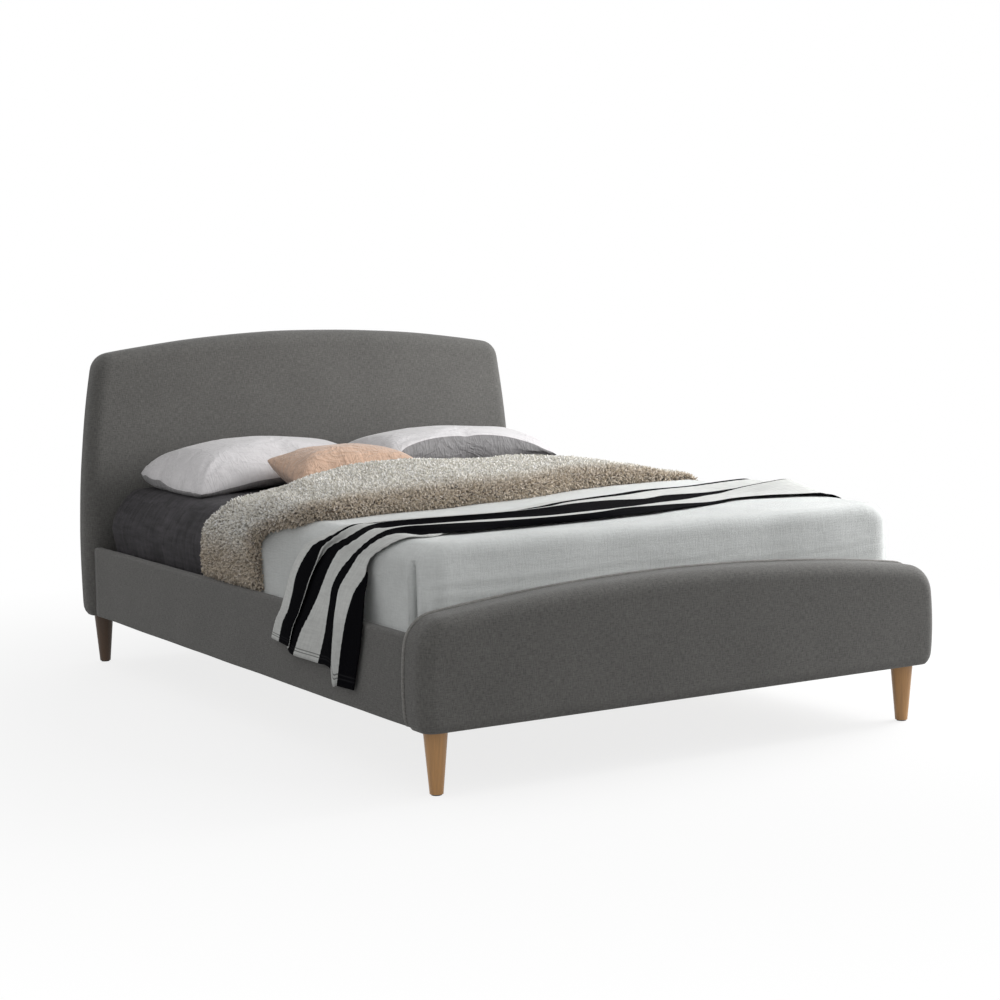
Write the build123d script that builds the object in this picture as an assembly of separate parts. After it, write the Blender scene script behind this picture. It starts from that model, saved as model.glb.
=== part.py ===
from build123d import *
from dataclasses import dataclass
from math import acos, atan2, cos, degrees, hypot, pi, radians, sin, sqrt
import os

# An upholstered double bed, made up with its bedding. Millimetres, +X to the right seen from the
# foot, +Y from foot to head, +Z up. The origin is on the floor under the middle of the bed.

# Mattress, its fitted sheet and the room left for it between the boards and rails
MATTRESS_WIDTH = 1350.0
MATTRESS_LENGTH = 1900.0
MATTRESS_DEPTH = 235.0
MATTRESS_CORNER_RADIUS = 60.0
MATTRESS_EDGE_RADIUS = 35.0
MATTRESS_SIDE_ROOM = 20.0
MATTRESS_HEAD_ROOM = 6.0
MATTRESS_FOOT_ROOM = 18.0
SHEET_THICKNESS = 2.0
LAYER_CLEARANCE = 0.3

# Headboard: a crowned panel under thick padding; heights are from its underside
HEADBOARD_BEYOND_RAIL = 19.0
HEADBOARD_HEIGHT = 831.0
HEADBOARD_THICKNESS = 100.0
HEADBOARD_SIDE_RADIUS = 3250.0
HEADBOARD_WIDEST_AT = 172.0
HEADBOARD_TOP_RADIUS = 4100.0
HEADBOARD_CORNER_RADIUS = 62.0
HEADBOARD_EDGE_RADIUS = 40.0
HEADBOARD_PANEL_SETBACK = 54.0
HEADBOARD_PANEL_THICKNESS = 34.0

# Footboard: the same make, low
FOOTBOARD_BEYOND_RAIL = 18.0
FOOTBOARD_HEIGHT = 298.0
FOOTBOARD_THICKNESS = 90.0
FOOTBOARD_SIDE_RADIUS = 760.0
FOOTBOARD_WIDEST_AT = 102.0
FOOTBOARD_TOP_RADIUS = 5200.0
FOOTBOARD_CORNER_RADIUS = 78.0
FOOTBOARD_EDGE_RADIUS = 36.0
FOOTBOARD_PANEL_SETBACK = 12.0
FOOTBOARD_PANEL_THICKNESS = 34.0

# What both boards share
BOARD_FOOT_CORNER_RADIUS = 46.0
BOARD_UNDERCUT = 12.0
BOARD_PANEL_MARGIN = 26.0
BOARD_LEAST_CORNER_RADIUS = 8.0
BOARD_COVER_THICKNESS = 3.0
BACK_CLOTH_MARGIN = 48.0

# Side rails and the battens that carry the slats
RAIL_HEIGHT = 207.0
RAIL_THICKNESS = 30.0
RAIL_PADDING = 5.0
RAIL_EDGE_RADIUS = 9.0
LEDGE_WIDTH = 30.0
LEDGE_HEIGHT = 30.0
SLAT_TOP_BELOW_RAIL = 55.0

# Slats and their webbing
SLAT_COUNT = 14
SLAT_WIDTH = 68.0
SLAT_THICKNESS = 18.0
SLAT_END_ROOM = 5.0
SLAT_FIRST_SETBACK = 45.0
WEBBING_WIDTH = 40.0
WEBBING_THICKNESS = 1.5

# Turned corner legs
LEG_HEIGHT = 148.0
LEG_TOP_DIAMETER = 56.0
LEG_FOOT_DIAMETER = 31.0
LEG_INSIDE_RAIL = 49.0
FOOT_LEG_SETBACK = 62.0
HEAD_LEG_SETBACK = 70.0
LEG_PLATE_SIZE = 50.0
LEG_PLATE_THICKNESS = 2.5
HANGER_BOLT_DIAMETER = 8.0
HANGER_BOLT_IN_LEG = 45.0
HANGER_BOLT_IN_PANEL = 40.0
GLIDE_DIAMETER = 24.0
GLIDE_THICKNESS = 3.0

# Corner brackets and their bolts
BRACKET_THICKNESS = 3.0
BRACKET_HEIGHT = 84.0
BRACKET_ON_RAIL = 70.0
BRACKET_ON_BOARD = 52.0
BRACKET_ABOVE_UNDERSIDE = 14.0
BOLT_DIAMETER = 6.0
BOLT_HEAD_DIAMETER = 13.0
BOLT_HEAD_HEIGHT = 4.0
BOLT_CLEARANCE = 0.2
BOLT_IN_PANEL = 20.0
BOLT_IN_RAIL = 14.0
BOLT_LEVELS = (0.25, 0.75)

# Centre rail, its saddles, legs and screw feet
CENTRE_RAIL_WIDTH = 40.0
CENTRE_RAIL_HEIGHT = 60.0
SADDLE_THICKNESS = 3.0
SADDLE_DEPTH = 50.0
SADDLE_LIP_BELOW_SLATS = 12.0
CENTRE_LEG_DIAMETER = 40.0
CENTRE_LEG_SPACING = 640.0
SCREW_FOOT_DIAMETER = 36.0
SCREW_FOOT_THICKNESS = 8.0
SCREW_FOOT_GAP = 12.0
SCREW_STEM_DIAMETER = 8.0
SCREW_STEM_LENGTH = 40.0
SCREW_STEM_CLEARANCE = 0.3

# Bed cover, tucked in at the sides and the foot
COVER_THICKNESS = 10.0
COVER_END_FROM_HEAD = 800.0
COVER_HEM_ABOVE_SLATS = 30.0
COVER_PLEAT_WIDTH = 7.0
COVER_PLEAT_DEPTH = 7.0

# Deep-pile throw, folded to a thick band across the middle of the bed
PILE_THICKNESS = 62.0
PILE_END_THICKNESS = 32.0
PILE_CROWN = 12.0
PILE_ROLL_SHARE = 0.4
PILE_ABOVE_RAIL = 2.0

# Striped throw, gathered into folds, hanging outside the left rail
STRIPED_THICKNESS = 3.0
STRIPED_FOLD_HEIGHT = 9.0
STRIPED_FOLD_COUNT = 4
STRIPED_HIGH_HEM_BELOW_RAIL = 93.0
STRIPED_LOW_HEM_BELOW_RAIL = 155.0
STRIPED_RIGHT_DROP = 70.0
STRIPED_RAIL_CLEARANCE = 2.0

# Edges of the two throws: share of the way from the bed's middle to its side, and distance from
# the mattress's head for the pile throw, from its foot for the striped one
PILE_FOOT_EDGE = [
    (-1.0, 1135), (-0.985, 1240), (-0.95, 1350), (-0.88, 1370), (-0.6, 1325), (-0.31, 1280),
    (0.0, 1213), (0.3, 1120), (0.52, 1091), (0.95, 1085), (1.0, 1070),
]
PILE_HEAD_EDGE = [(-1.0, 731), (-0.92, 740), (-0.3, 750), (0.5, 725), (0.88, 760), (1.0, 820)]
STRIPED_FOOT_EDGE = [(-1.0, 120), (-0.93, 70), (-0.58, 100), (-0.12, 174), (0.44, 160), (1.0, 130)]
STRIPED_HEAD_EDGE = [
    (-1.0, 430), (-0.93, 360), (-0.73, 430), (-0.33, 500), (0.0, 480), (0.93, 550), (1.0, 550),
]

# The hanging end of the striped throw: share of the way up to the rail's top, and its two edges
STRIPED_HANG = [(0.0, 235, 670), (0.45, 150, 550), (1.0, 125, 435)]
CROSSING_SHARES = [-0.75, -0.5, -0.25, 0.0, 0.25, 0.5, 0.75]

# Pillows and the small cushion
PILLOW_SIDE_GAP = 60.0
PILLOW_WIDTH = 450.0
PILLOW_HEIGHT = 138.0
PILLOW_HEAD_GAP = 68.0
PILLOW_MIDDLE_GAP = 12.0
CUSHION_LENGTH = 450.0
CUSHION_WIDTH = 225.0
CUSHION_HEIGHT = 102.0
CUSHION_TILT = 14.0
CUSHION_PILLOW_GAP = 2.0
CUSHION_OFF_CENTRE = 178.0
PILLOW_SEAM_LEVEL = 0.45
PILLOW_DRAWN_IN = 0.06
PILLOW_ROUNDNESS = 0.6
PILLOW_STEPS = [-55, -42, -28, -14, 0, 14, 28, 42, 56, 70, 84]

# Places worked out from the sizes above
inner_length = MATTRESS_LENGTH + MATTRESS_HEAD_ROOM + MATTRESS_FOOT_ROOM
overall_length = FOOTBOARD_THICKNESS + inner_length + HEADBOARD_THICKNESS
foot_outside = -overall_length / 2
foot_inside = foot_outside + FOOTBOARD_THICKNESS
head_inside = foot_inside + inner_length
rail_inside = MATTRESS_WIDTH / 2 + MATTRESS_SIDE_ROOM
rail_outside = rail_inside + RAIL_THICKNESS
rail_top = LEG_HEIGHT + RAIL_HEIGHT
slat_top = rail_top - SLAT_TOP_BELOW_RAIL
ledge_top = slat_top - SLAT_THICKNESS
mattress_foot = foot_inside + MATTRESS_FOOT_ROOM
mattress_head = mattress_foot + MATTRESS_LENGTH
mattress_centre = (mattress_foot + mattress_head) / 2
mattress_bottom = slat_top + WEBBING_THICKNESS + SHEET_THICKNESS + 2 * LAYER_CLEARANCE
sheet_top = mattress_bottom + MATTRESS_DEPTH + SHEET_THICKNESS
cover_build = SHEET_THICKNESS + LAYER_CLEARANCE + COVER_THICKNESS
cover_top = mattress_bottom + MATTRESS_DEPTH + cover_build
cover_half = MATTRESS_WIDTH / 2 + cover_build
cover_edge_radius = MATTRESS_EDGE_RADIUS + cover_build
leg_x = rail_outside - LEG_INSIDE_RAIL
foot_leg_y = foot_outside + FOOT_LEG_SETBACK
head_leg_y = head_inside + HEAD_LEG_SETBACK


@dataclass
class BoardForm:
    """The sizes of one padded board; front is the Y of the face towards the foot."""

    half_width: float
    top: float
    front: float
    thickness: float
    side_radius: float
    widest_at: float
    top_radius: float
    corner_radius: float
    edge_radius: float
    panel_setback: float
    panel_thickness: float


HEAD = BoardForm(
    rail_outside + HEADBOARD_BEYOND_RAIL, LEG_HEIGHT + HEADBOARD_HEIGHT, head_inside,
    HEADBOARD_THICKNESS, HEADBOARD_SIDE_RADIUS, LEG_HEIGHT + HEADBOARD_WIDEST_AT,
    HEADBOARD_TOP_RADIUS, HEADBOARD_CORNER_RADIUS, HEADBOARD_EDGE_RADIUS,
    HEADBOARD_PANEL_SETBACK, HEADBOARD_PANEL_THICKNESS,
)
FOOT = BoardForm(
    rail_outside + FOOTBOARD_BEYOND_RAIL, LEG_HEIGHT + FOOTBOARD_HEIGHT, foot_outside,
    FOOTBOARD_THICKNESS, FOOTBOARD_SIDE_RADIUS, LEG_HEIGHT + FOOTBOARD_WIDEST_AT,
    FOOTBOARD_TOP_RADIUS, FOOTBOARD_CORNER_RADIUS, FOOTBOARD_EDGE_RADIUS,
    FOOTBOARD_PANEL_SETBACK, FOOTBOARD_PANEL_THICKNESS,
)


def block(x, y, z):
    """A box between pairs of limits."""
    box = Box(x[1] - x[0], y[1] - y[0], z[1] - z[0])
    return Pos((x[0] + x[1]) / 2, (y[0] + y[1]) / 2, (z[0] + z[1]) / 2) * box


def rod(x, y, bottom, top, bottom_diameter, top_diameter=None):
    """An upright turned piece, straight or tapered."""
    if top_diameter is None or top_diameter == bottom_diameter:
        shape = Cylinder(bottom_diameter / 2, top - bottom)
    else:
        shape = Cone(bottom_diameter / 2, top_diameter / 2, top - bottom)
    return Pos(x, y, (bottom + top) / 2) * shape


def board_face(board, inset, bottom):
    """The crowned outline, moved in by inset, standing at Y = 0 on the level bottom."""
    half = board.half_width - inset
    side = board.side_radius - inset
    crown = board.top_radius - inset
    top = board.top - inset
    side_x = half - side
    rise = top - crown - board.widest_at
    apart = hypot(side_x, rise)
    along = (side**2 - crown**2 + apart**2) / (2 * apart)
    across = sqrt(side**2 - along**2)
    ux, uz = -side_x / apart, rise / apart
    corners = [
        (side_x + ux * along + s * uz * across, board.widest_at + uz * along - s * ux * across)
        for s in (1, -1)
    ]
    corner_x, corner_z = max(corners)
    foot_x = side_x + sqrt(side**2 - (bottom - board.widest_at) ** 2)
    sides = []
    for m in (1, -1):
        ends = (m * foot_x, 0, bottom), (m * corner_x, 0, corner_z)
        sides.append(ThreePointArc(ends[0], (m * half, 0, board.widest_at), ends[1]))
    crown_arc = ThreePointArc((corner_x, 0, corner_z), (0, 0, top), (-corner_x, 0, corner_z))
    base = Line((-foot_x, 0, bottom), (foot_x, 0, bottom))
    face = make_face([base, sides[0], crown_arc, sides[1]]).face()
    upper = face.vertices().filter_by(lambda v: v.Z > board.widest_at)
    face = face.fillet_2d(max(board.corner_radius - inset, BOARD_LEAST_CORNER_RADIUS), upper)
    lower = face.vertices().group_by(Axis.Z)[0]
    return face.fillet_2d(max(BOARD_FOOT_CORNER_RADIUS - inset, BOARD_LEAST_CORNER_RADIUS), lower)


def board_solid(board, inset):
    """The whole padded form, moved in by inset on every side and cut level underneath."""
    face = board_face(board, inset, LEG_HEIGHT - BOARD_UNDERCUT + inset)
    solid = extrude(face, amount=board.thickness - 2 * inset, dir=(0, 1, 0))
    ends = solid.faces().sort_by(Axis.Y)
    solid = fillet(ends[0].edges() + ends[-1].edges(), board.edge_radius - inset)
    solid = Pos(0, board.front + inset, 0) * solid
    underside = Plane(origin=(0, 0, LEG_HEIGHT + inset), z_dir=(0, 0, 1))
    return split(solid, bisect_by=underside, keep=Keep.TOP)


def board_plate(board, inset, bottom, front, thickness, spare=0.0):
    """A flat piece of the board's outline; spare widens it for a cut."""
    face = board_face(board, inset - spare, bottom - spare)
    return Pos(0, front, 0) * extrude(face, amount=thickness, dir=(0, 1, 0))


def padded_board(board, back_at_head):
    """Panel, padding, cover and back cloth of one board, before drilling."""
    inner_bottom = LEG_HEIGHT + BOARD_COVER_THICKNESS
    outer = board_solid(board, 0)
    filling = board_solid(board, BOARD_COVER_THICKNESS)
    panel = filling & board_plate(
        board, BOARD_PANEL_MARGIN, inner_bottom, board.front + board.panel_setback, board.panel_thickness
    )
    pieces = {"panel": panel, "padding": filling - panel, "cover": outer - filling}
    if back_at_head:
        bottom = LEG_HEIGHT + BACK_CLOTH_MARGIN
        front = board.front + board.thickness - BOARD_COVER_THICKNESS
        shape = (board, BACK_CLOTH_MARGIN, bottom, front, BOARD_COVER_THICKNESS)
        pieces["cover"] -= board_plate(*shape, spare=LAYER_CLEARANCE)
        pieces["back_cloth"] = board_plate(*shape)
    return pieces


def rail(side):
    """Core board and wrapped cover of one side rail; side is -1 for left, 1 for right."""
    length = (foot_inside, head_inside)
    x = sorted((side * rail_inside, side * rail_outside))
    wrapped = block(x, length, (LEG_HEIGHT, rail_top))
    wrapped = fillet(wrapped.edges().filter_by(Axis.Y), RAIL_EDGE_RADIUS)
    core_x = (x[0] + RAIL_PADDING, x[1] - RAIL_PADDING)
    core = block(core_x, length, (LEG_HEIGHT + RAIL_PADDING, rail_top - RAIL_PADDING))
    return core, wrapped - core


def ledge(side):
    """Batten along the inside of a rail that carries the slat ends."""
    x = sorted((side * rail_inside, side * (rail_inside - LEDGE_WIDTH)))
    return block(x, (foot_inside, head_inside), (ledge_top - LEDGE_HEIGHT, ledge_top))


def bolt(start, direction, length, spare=0.0):
    """A bolt whose head sits on start and whose shank runs along direction."""
    plane = Plane(origin=start, z_dir=direction)
    shank = Pos(0, 0, length / 2) * Cylinder(BOLT_DIAMETER / 2 + spare, length)
    head = Pos(0, 0, -BOLT_HEAD_HEIGHT / 2) * Cylinder(BOLT_HEAD_DIAMETER / 2, BOLT_HEAD_HEIGHT)
    return plane * (shank + head)


def corner_bracket(side, face_y, into):
    """Angle bracket between a rail and a board; into is the Y direction into the board."""
    base = LEG_HEIGHT + BRACKET_ABOVE_UNDERSIDE
    z = (base, base + BRACKET_HEIGHT)
    on_rail_x = sorted((side * rail_inside, side * (rail_inside - BRACKET_THICKNESS)))
    on_rail_y = sorted((face_y, face_y - into * BRACKET_ON_RAIL))
    on_board_x = sorted((side * rail_inside, side * (rail_inside - BRACKET_ON_BOARD)))
    on_board_y = sorted((face_y, face_y - into * BRACKET_THICKNESS))
    return block(on_rail_x, on_rail_y, z) + block(on_board_x, on_board_y, z)


def bracket_bolts(side, face_y, into, panel_depth, spare=0.0):
    """Two bolts into the board and two into the rail at one corner."""
    base = LEG_HEIGHT + BRACKET_ABOVE_UNDERSIDE
    board_x = side * (rail_inside - (BRACKET_ON_BOARD + BRACKET_THICKNESS) / 2)
    rail_y = face_y - into * (BRACKET_ON_RAIL + BRACKET_THICKNESS) / 2
    into_panel = BRACKET_THICKNESS + panel_depth + BOLT_IN_PANEL
    into_rail = BRACKET_THICKNESS + RAIL_PADDING + BOLT_IN_RAIL
    bolts = []
    for share in BOLT_LEVELS:
        z = base + share * BRACKET_HEIGHT
        board_start = (board_x, face_y - into * BRACKET_THICKNESS, z)
        rail_start = (side * (rail_inside - BRACKET_THICKNESS), rail_y, z)
        bolts.append(bolt(board_start, (0, into, 0), into_panel, spare))
        bolts.append(bolt(rail_start, (side, 0, 0), into_rail, spare))
    return bolts


def rounded_mattress(grow, bottom_grow):
    """The mattress block, grown on its top and sides and underneath."""
    half_x = MATTRESS_WIDTH / 2 + grow
    half_y = MATTRESS_LENGTH / 2 + grow
    z = (mattress_bottom - bottom_grow, mattress_bottom + MATTRESS_DEPTH + grow)
    y = (mattress_centre - half_y, mattress_centre + half_y)
    shape = block((-half_x, half_x), y, z)
    shape = fillet(shape.edges().filter_by(Axis.Z), MATTRESS_CORNER_RADIUS + grow)
    rims = shape.faces().sort_by(Axis.Z)
    shape = fillet(rims[-1].edges(), MATTRESS_EDGE_RADIUS + grow)
    lower = shape.faces().sort_by(Axis.Z)[0]
    return fillet(lower.edges(), MATTRESS_EDGE_RADIUS + bottom_grow)


def bed_cover():
    """Quilted cover over the foot half, tucked down the sides, with a pleat at each foot corner."""
    cover = rounded_mattress(cover_build, cover_build) - rounded_mattress(
        SHEET_THICKNESS + LAYER_CLEARANCE, SHEET_THICKNESS + LAYER_CLEARANCE
    )
    hem = slat_top + COVER_HEM_ABOVE_SLATS
    covered = (foot_inside, mattress_head - COVER_END_FROM_HEAD)
    cover &= block((-cover_half, cover_half), covered, (hem, cover_top))
    corner_radius = MATTRESS_CORNER_RADIUS + cover_build
    reach = corner_radius * (1 - cos(radians(45)))
    foot_edge = mattress_foot - cover_build
    for side in (-1, 1):
        pleat = Box(COVER_PLEAT_WIDTH, 2 * COVER_PLEAT_DEPTH, cover_top - hem - cover_edge_radius)
        middle = (hem + cover_top - cover_edge_radius) / 2
        place = Pos(side * (cover_half - reach), foot_edge + reach, middle) * Rot(0, 0, side * 45)
        cover -= place * pleat
    return cover


def over_mattress(gap, left_end, right_end):
    """Stations over the bed cover from the left side to the right, as (x, z, turn in degrees).

    gap is the height above the cover, left_end and right_end the lowest Z on each side. The turn
    is 90 where the cloth climbs the left side, 0 on top and -90 where it drops on the right.
    """
    radius = cover_edge_radius + gap
    centre_x = cover_half - cover_edge_radius
    centre_z = cover_top - cover_edge_radius
    bend = [90, 75, 60, 45, 30, 15, 0]
    left = [(-centre_x - radius * sin(radians(a)), centre_z + radius * cos(radians(a)), a) for a in bend]
    right = [(-x, z, -turn) for x, z, turn in reversed(left)]
    start = (-centre_x - radius, left_end, 90)
    finish = (centre_x + radius, right_end, -90)
    return [start, *left, *right, finish]


def station_plane(x, z, turn):
    """Plane square to the cloth's run, with +X along the bed and +Y away from the mattress."""
    run = (cos(radians(turn)), 0, sin(radians(turn)))
    return Plane(origin=(x, 0, z), x_dir=(0, 1, 0), z_dir=run)


def pile_section(plane, start, end, thickness, crown):
    """A thick soft slab with rolled edges and a crowned top."""
    roll = PILE_ROLL_SHARE * thickness
    crest = ((start + end) / 2, thickness + crown)
    wire = [
        Line((start + roll, 0), (end - roll, 0)),
        ThreePointArc((end - roll, 0), (end, thickness / 2), (end - roll, thickness)),
        ThreePointArc((end - roll, thickness), crest, (start + roll, thickness)),
        ThreePointArc((start + roll, thickness), (start, thickness / 2), (start + roll, 0)),
    ]
    return plane * make_face(wire)


def fold_section(plane, start, end):
    """A gathered band: flat below, with a row of rounded folds on top."""
    width = (end - start) / STRIPED_FOLD_COUNT
    top = STRIPED_THICKNESS
    wire = [Line((start, 0), (end, 0)), Line((end, 0), (end, top))]
    for index in range(STRIPED_FOLD_COUNT):
        near = end - index * width
        crest = (near - width / 2, top + STRIPED_FOLD_HEIGHT)
        wire.append(ThreePointArc((near, top), crest, (near - width, top)))
    wire.append(Line((start, top), (start, 0)))
    return plane * make_face(wire)


def throw_edge(x, points):
    """Distance of a throw's edge from its end of the mattress at x, straight between its points."""
    share = max(-1.0, min(1.0, x / cover_half))
    for (u0, d0), (u1, d1) in zip(points, points[1:]):
        if share <= u1:
            return d0 + (d1 - d0) * (share - u0) / (u1 - u0)
    return points[-1][1]


def across_bed(stations):
    """The stations with more of them on top of the bed, between the two bends."""
    first = next(i for i, station in enumerate(stations) if station[2] == 0)
    x, z, turn = stations[first]
    middle = [(-x * share, z, turn) for share in CROSSING_SHARES]
    return stations[: first + 1] + middle + stations[first + 1 :]


def pile_throw():
    """Deep-pile throw from rail to rail over the mattress."""
    low = rail_top + PILE_ABOVE_RAIL
    sections = []
    for x, z, turn in across_bed(over_mattress(2 * LAYER_CLEARANCE, low, low)):
        on_top = cos(radians(turn))
        thickness = PILE_END_THICKNESS + (PILE_THICKNESS - PILE_END_THICKNESS) * on_top
        crown = PILE_CROWN * (1 + on_top) / 2
        start, end = (mattress_head - throw_edge(x, e) for e in (PILE_FOOT_EDGE, PILE_HEAD_EDGE))
        sections.append(pile_section(station_plane(x, z, turn), start, end, thickness, crown))
    return loft(sections, ruled=True)


def striped_throw():
    """Striped throw over the foot of the bed, hanging down outside the left rail."""
    gap = 2 * LAYER_CLEARANCE
    radius = cover_edge_radius + gap
    centre_x = cover_half - cover_edge_radius
    centre_z = cover_top - cover_edge_radius
    hang_x = -(rail_outside + STRIPED_RAIL_CLEARANCE)
    shoulder_z = rail_top + STRIPED_FOLD_HEIGHT
    reach_x, reach_z = -centre_x - hang_x, centre_z - shoulder_z
    bend_over = acos(radius / hypot(reach_x, reach_z))
    lean = degrees(atan2(reach_x, reach_z) - (pi / 2 - bend_over))
    turn = 90 - lean
    touch = (-centre_x - radius * sin(radians(turn)), centre_z + radius * cos(radians(turn)), turn)
    stations = across_bed(over_mattress(gap, rail_top, centre_z - STRIPED_RIGHT_DROP))
    stations = [touch] + [station for station in stations if station[2] < turn]
    hem_low = rail_top - STRIPED_LOW_HEM_BELOW_RAIL
    hem_high = rail_top - STRIPED_HIGH_HEM_BELOW_RAIL
    low = hem_low - STRIPED_THICKNESS
    sections = []
    for share, foot_edge, head_edge in STRIPED_HANG:
        place = station_plane(hang_x, low + (shoulder_z - low) * share, 90 - lean / 2 * (share == 1))
        sections.append(fold_section(place, mattress_foot + foot_edge, mattress_foot + head_edge))
    for x, z, turn in stations:
        start, end = (mattress_foot + throw_edge(x, e) for e in (STRIPED_FOOT_EDGE, STRIPED_HEAD_EDGE))
        sections.append(fold_section(station_plane(x, z, turn), start, end))
    cloth = loft(sections, ruled=True)
    foot_edge, head_edge = STRIPED_HANG[0][1:]
    slope = (hem_high - hem_low) / (head_edge - foot_edge)
    hem = Plane(origin=(0, mattress_foot + foot_edge, hem_low), z_dir=(0, -slope, 1))
    return split(cloth, bisect_by=hem, keep=Keep.TOP)


def pillow(length, width, height):
    """A crowned pillow lying on its lower face, with drawn-in sides between its corners."""
    seam = PILLOW_SEAM_LEVEL * height
    sections = []
    for step in PILLOW_STEPS:
        if step < 0:
            level = seam * (1 - sin(radians(step)) / sin(radians(PILLOW_STEPS[0])))
        else:
            level = seam + (height - seam) * sin(radians(step)) / sin(radians(PILLOW_STEPS[-1]))
        share = cos(radians(step)) ** PILLOW_ROUNDNESS
        x, y = length / 2 * share, width / 2 * share
        draw = PILLOW_DRAWN_IN * width * share
        corners = [(x, y), (-x, y), (-x, -y), (x, -y)]
        middles = [(0, y - draw), (draw - x, 0), (0, draw - y), (x - draw, 0)]
        arcs = [ThreePointArc(corners[i], middles[i], corners[(i + 1) % 4]) for i in range(4)]
        sections.append(Pos(0, 0, level) * make_face(arcs))
    return loft(sections, ruled=True)


parts = {}

# Boards and rails, undrilled
for name, board, cloth in (("headboard", HEAD, True), ("footboard", FOOT, False)):
    for piece, solid in padded_board(board, cloth).items():
        parts[f"{name}_{piece}"] = solid
for name, side in (("left", -1), ("right", 1)):
    core, wrap = rail(side)
    parts[f"{name}_side_rail"] = core
    parts[f"{name}_side_rail_cover"] = wrap
    parts[f"{name}_slat_ledge"] = ledge(side)

# Corner brackets and their bolts, with the holes that they need
corners = []
foot_panel_depth = FOOTBOARD_THICKNESS - FOOTBOARD_PANEL_SETBACK - FOOTBOARD_PANEL_THICKNESS
for side in (-1, 1):
    corners.append((side, foot_inside, -1, foot_panel_depth))
    corners.append((side, head_inside, 1, HEADBOARD_PANEL_SETBACK))
brackets, bolts, bolt_holes = [], [], []
for side, face_y, into, depth in corners:
    brackets.append(corner_bracket(side, face_y, into))
    bolts += bracket_bolts(side, face_y, into, depth)
    bolt_holes += bracket_bolts(side, face_y, into, depth, BOLT_CLEARANCE)
parts["rail_brackets"] = Compound(children=[b - bolt_holes for b in brackets])
parts["rail_bracket_bolts"] = Compound(children=bolts)
for name in ("headboard", "footboard"):
    for piece in ("panel", "padding", "cover"):
        parts[f"{name}_{piece}"] -= bolt_holes
for name in ("left", "right"):
    parts[f"{name}_side_rail"] -= bolt_holes
    parts[f"{name}_side_rail_cover"] -= bolt_holes

# Corner legs, each screwed up into a board's panel by a hanger bolt through a steel plate
plate_bottom = LEG_HEIGHT - LEG_PLATE_THICKNESS
plates, hangers, hanger_holes, glides = [], [], [], []
leg_places = {
    "front_left_leg": (-leg_x, foot_leg_y), "front_right_leg": (leg_x, foot_leg_y),
    "rear_left_leg": (-leg_x, head_leg_y), "rear_right_leg": (leg_x, head_leg_y),
}
bolt_top = LEG_HEIGHT + BOARD_COVER_THICKNESS + HANGER_BOLT_IN_PANEL
for name, (x, y) in leg_places.items():
    limits = (plate_bottom - HANGER_BOLT_IN_LEG, bolt_top)
    hangers.append(rod(x, y, *limits, HANGER_BOLT_DIAMETER))
    hole = rod(x, y, *limits, HANGER_BOLT_DIAMETER + 2 * BOLT_CLEARANCE)
    hanger_holes.append(hole)
    half = LEG_PLATE_SIZE / 2
    plate = block((x - half, x + half), (y - half, y + half), (plate_bottom, LEG_HEIGHT))
    plates.append(plate - hole)
    glides.append(rod(x, y, 0, GLIDE_THICKNESS, GLIDE_DIAMETER))
    parts[name] = rod(x, y, GLIDE_THICKNESS, plate_bottom, LEG_FOOT_DIAMETER, LEG_TOP_DIAMETER) - hole
parts["leg_plates"] = Compound(children=plates)
parts["leg_hanger_bolts"] = Compound(children=hangers)
parts["leg_glides"] = Compound(children=glides)
for name in ("headboard", "footboard"):
    for piece in ("panel", "padding", "cover"):
        parts[f"{name}_{piece}"] -= hanger_holes

# Centre rail in its saddles, with two legs on screw feet
centre_bottom = ledge_top - CENTRE_RAIL_HEIGHT
half_rail = CENTRE_RAIL_WIDTH / 2
centre_y = (foot_inside + SADDLE_THICKNESS, head_inside - SADDLE_THICKNESS)
centre_rail = block((-half_rail, half_rail), centre_y, (centre_bottom, ledge_top))
saddle_x = (-half_rail - SADDLE_THICKNESS, half_rail + SADDLE_THICKNESS)
saddle_z = (centre_bottom - SADDLE_THICKNESS, ledge_top - SADDLE_LIP_BELOW_SLATS)
saddles = []
for face_y, inward in ((foot_inside, 1), (head_inside, -1)):
    y = sorted((face_y, face_y + inward * SADDLE_DEPTH))
    saddles.append(block(saddle_x, y, saddle_z) - centre_rail)
parts["centre_rail"] = centre_rail
parts["centre_rail_saddles"] = Compound(children=saddles)
leg_bottom = SCREW_FOOT_THICKNESS + SCREW_FOOT_GAP
stem_top = SCREW_FOOT_THICKNESS + SCREW_STEM_LENGTH
bore_top = stem_top + SCREW_FOOT_GAP
bore = SCREW_STEM_DIAMETER + 2 * SCREW_STEM_CLEARANCE
for name, y in (("foot", -CENTRE_LEG_SPACING / 2), ("head", CENTRE_LEG_SPACING / 2)):
    leg = rod(0, y, leg_bottom, centre_bottom, CENTRE_LEG_DIAMETER)
    parts[f"{name}_centre_leg"] = leg - rod(0, y, leg_bottom, bore_top, bore)
    pad = rod(0, y, 0, SCREW_FOOT_THICKNESS, SCREW_FOOT_DIAMETER)
    parts[f"{name}_screw_foot"] = pad + rod(0, y, SCREW_FOOT_THICKNESS, stem_top, SCREW_STEM_DIAMETER)

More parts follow.
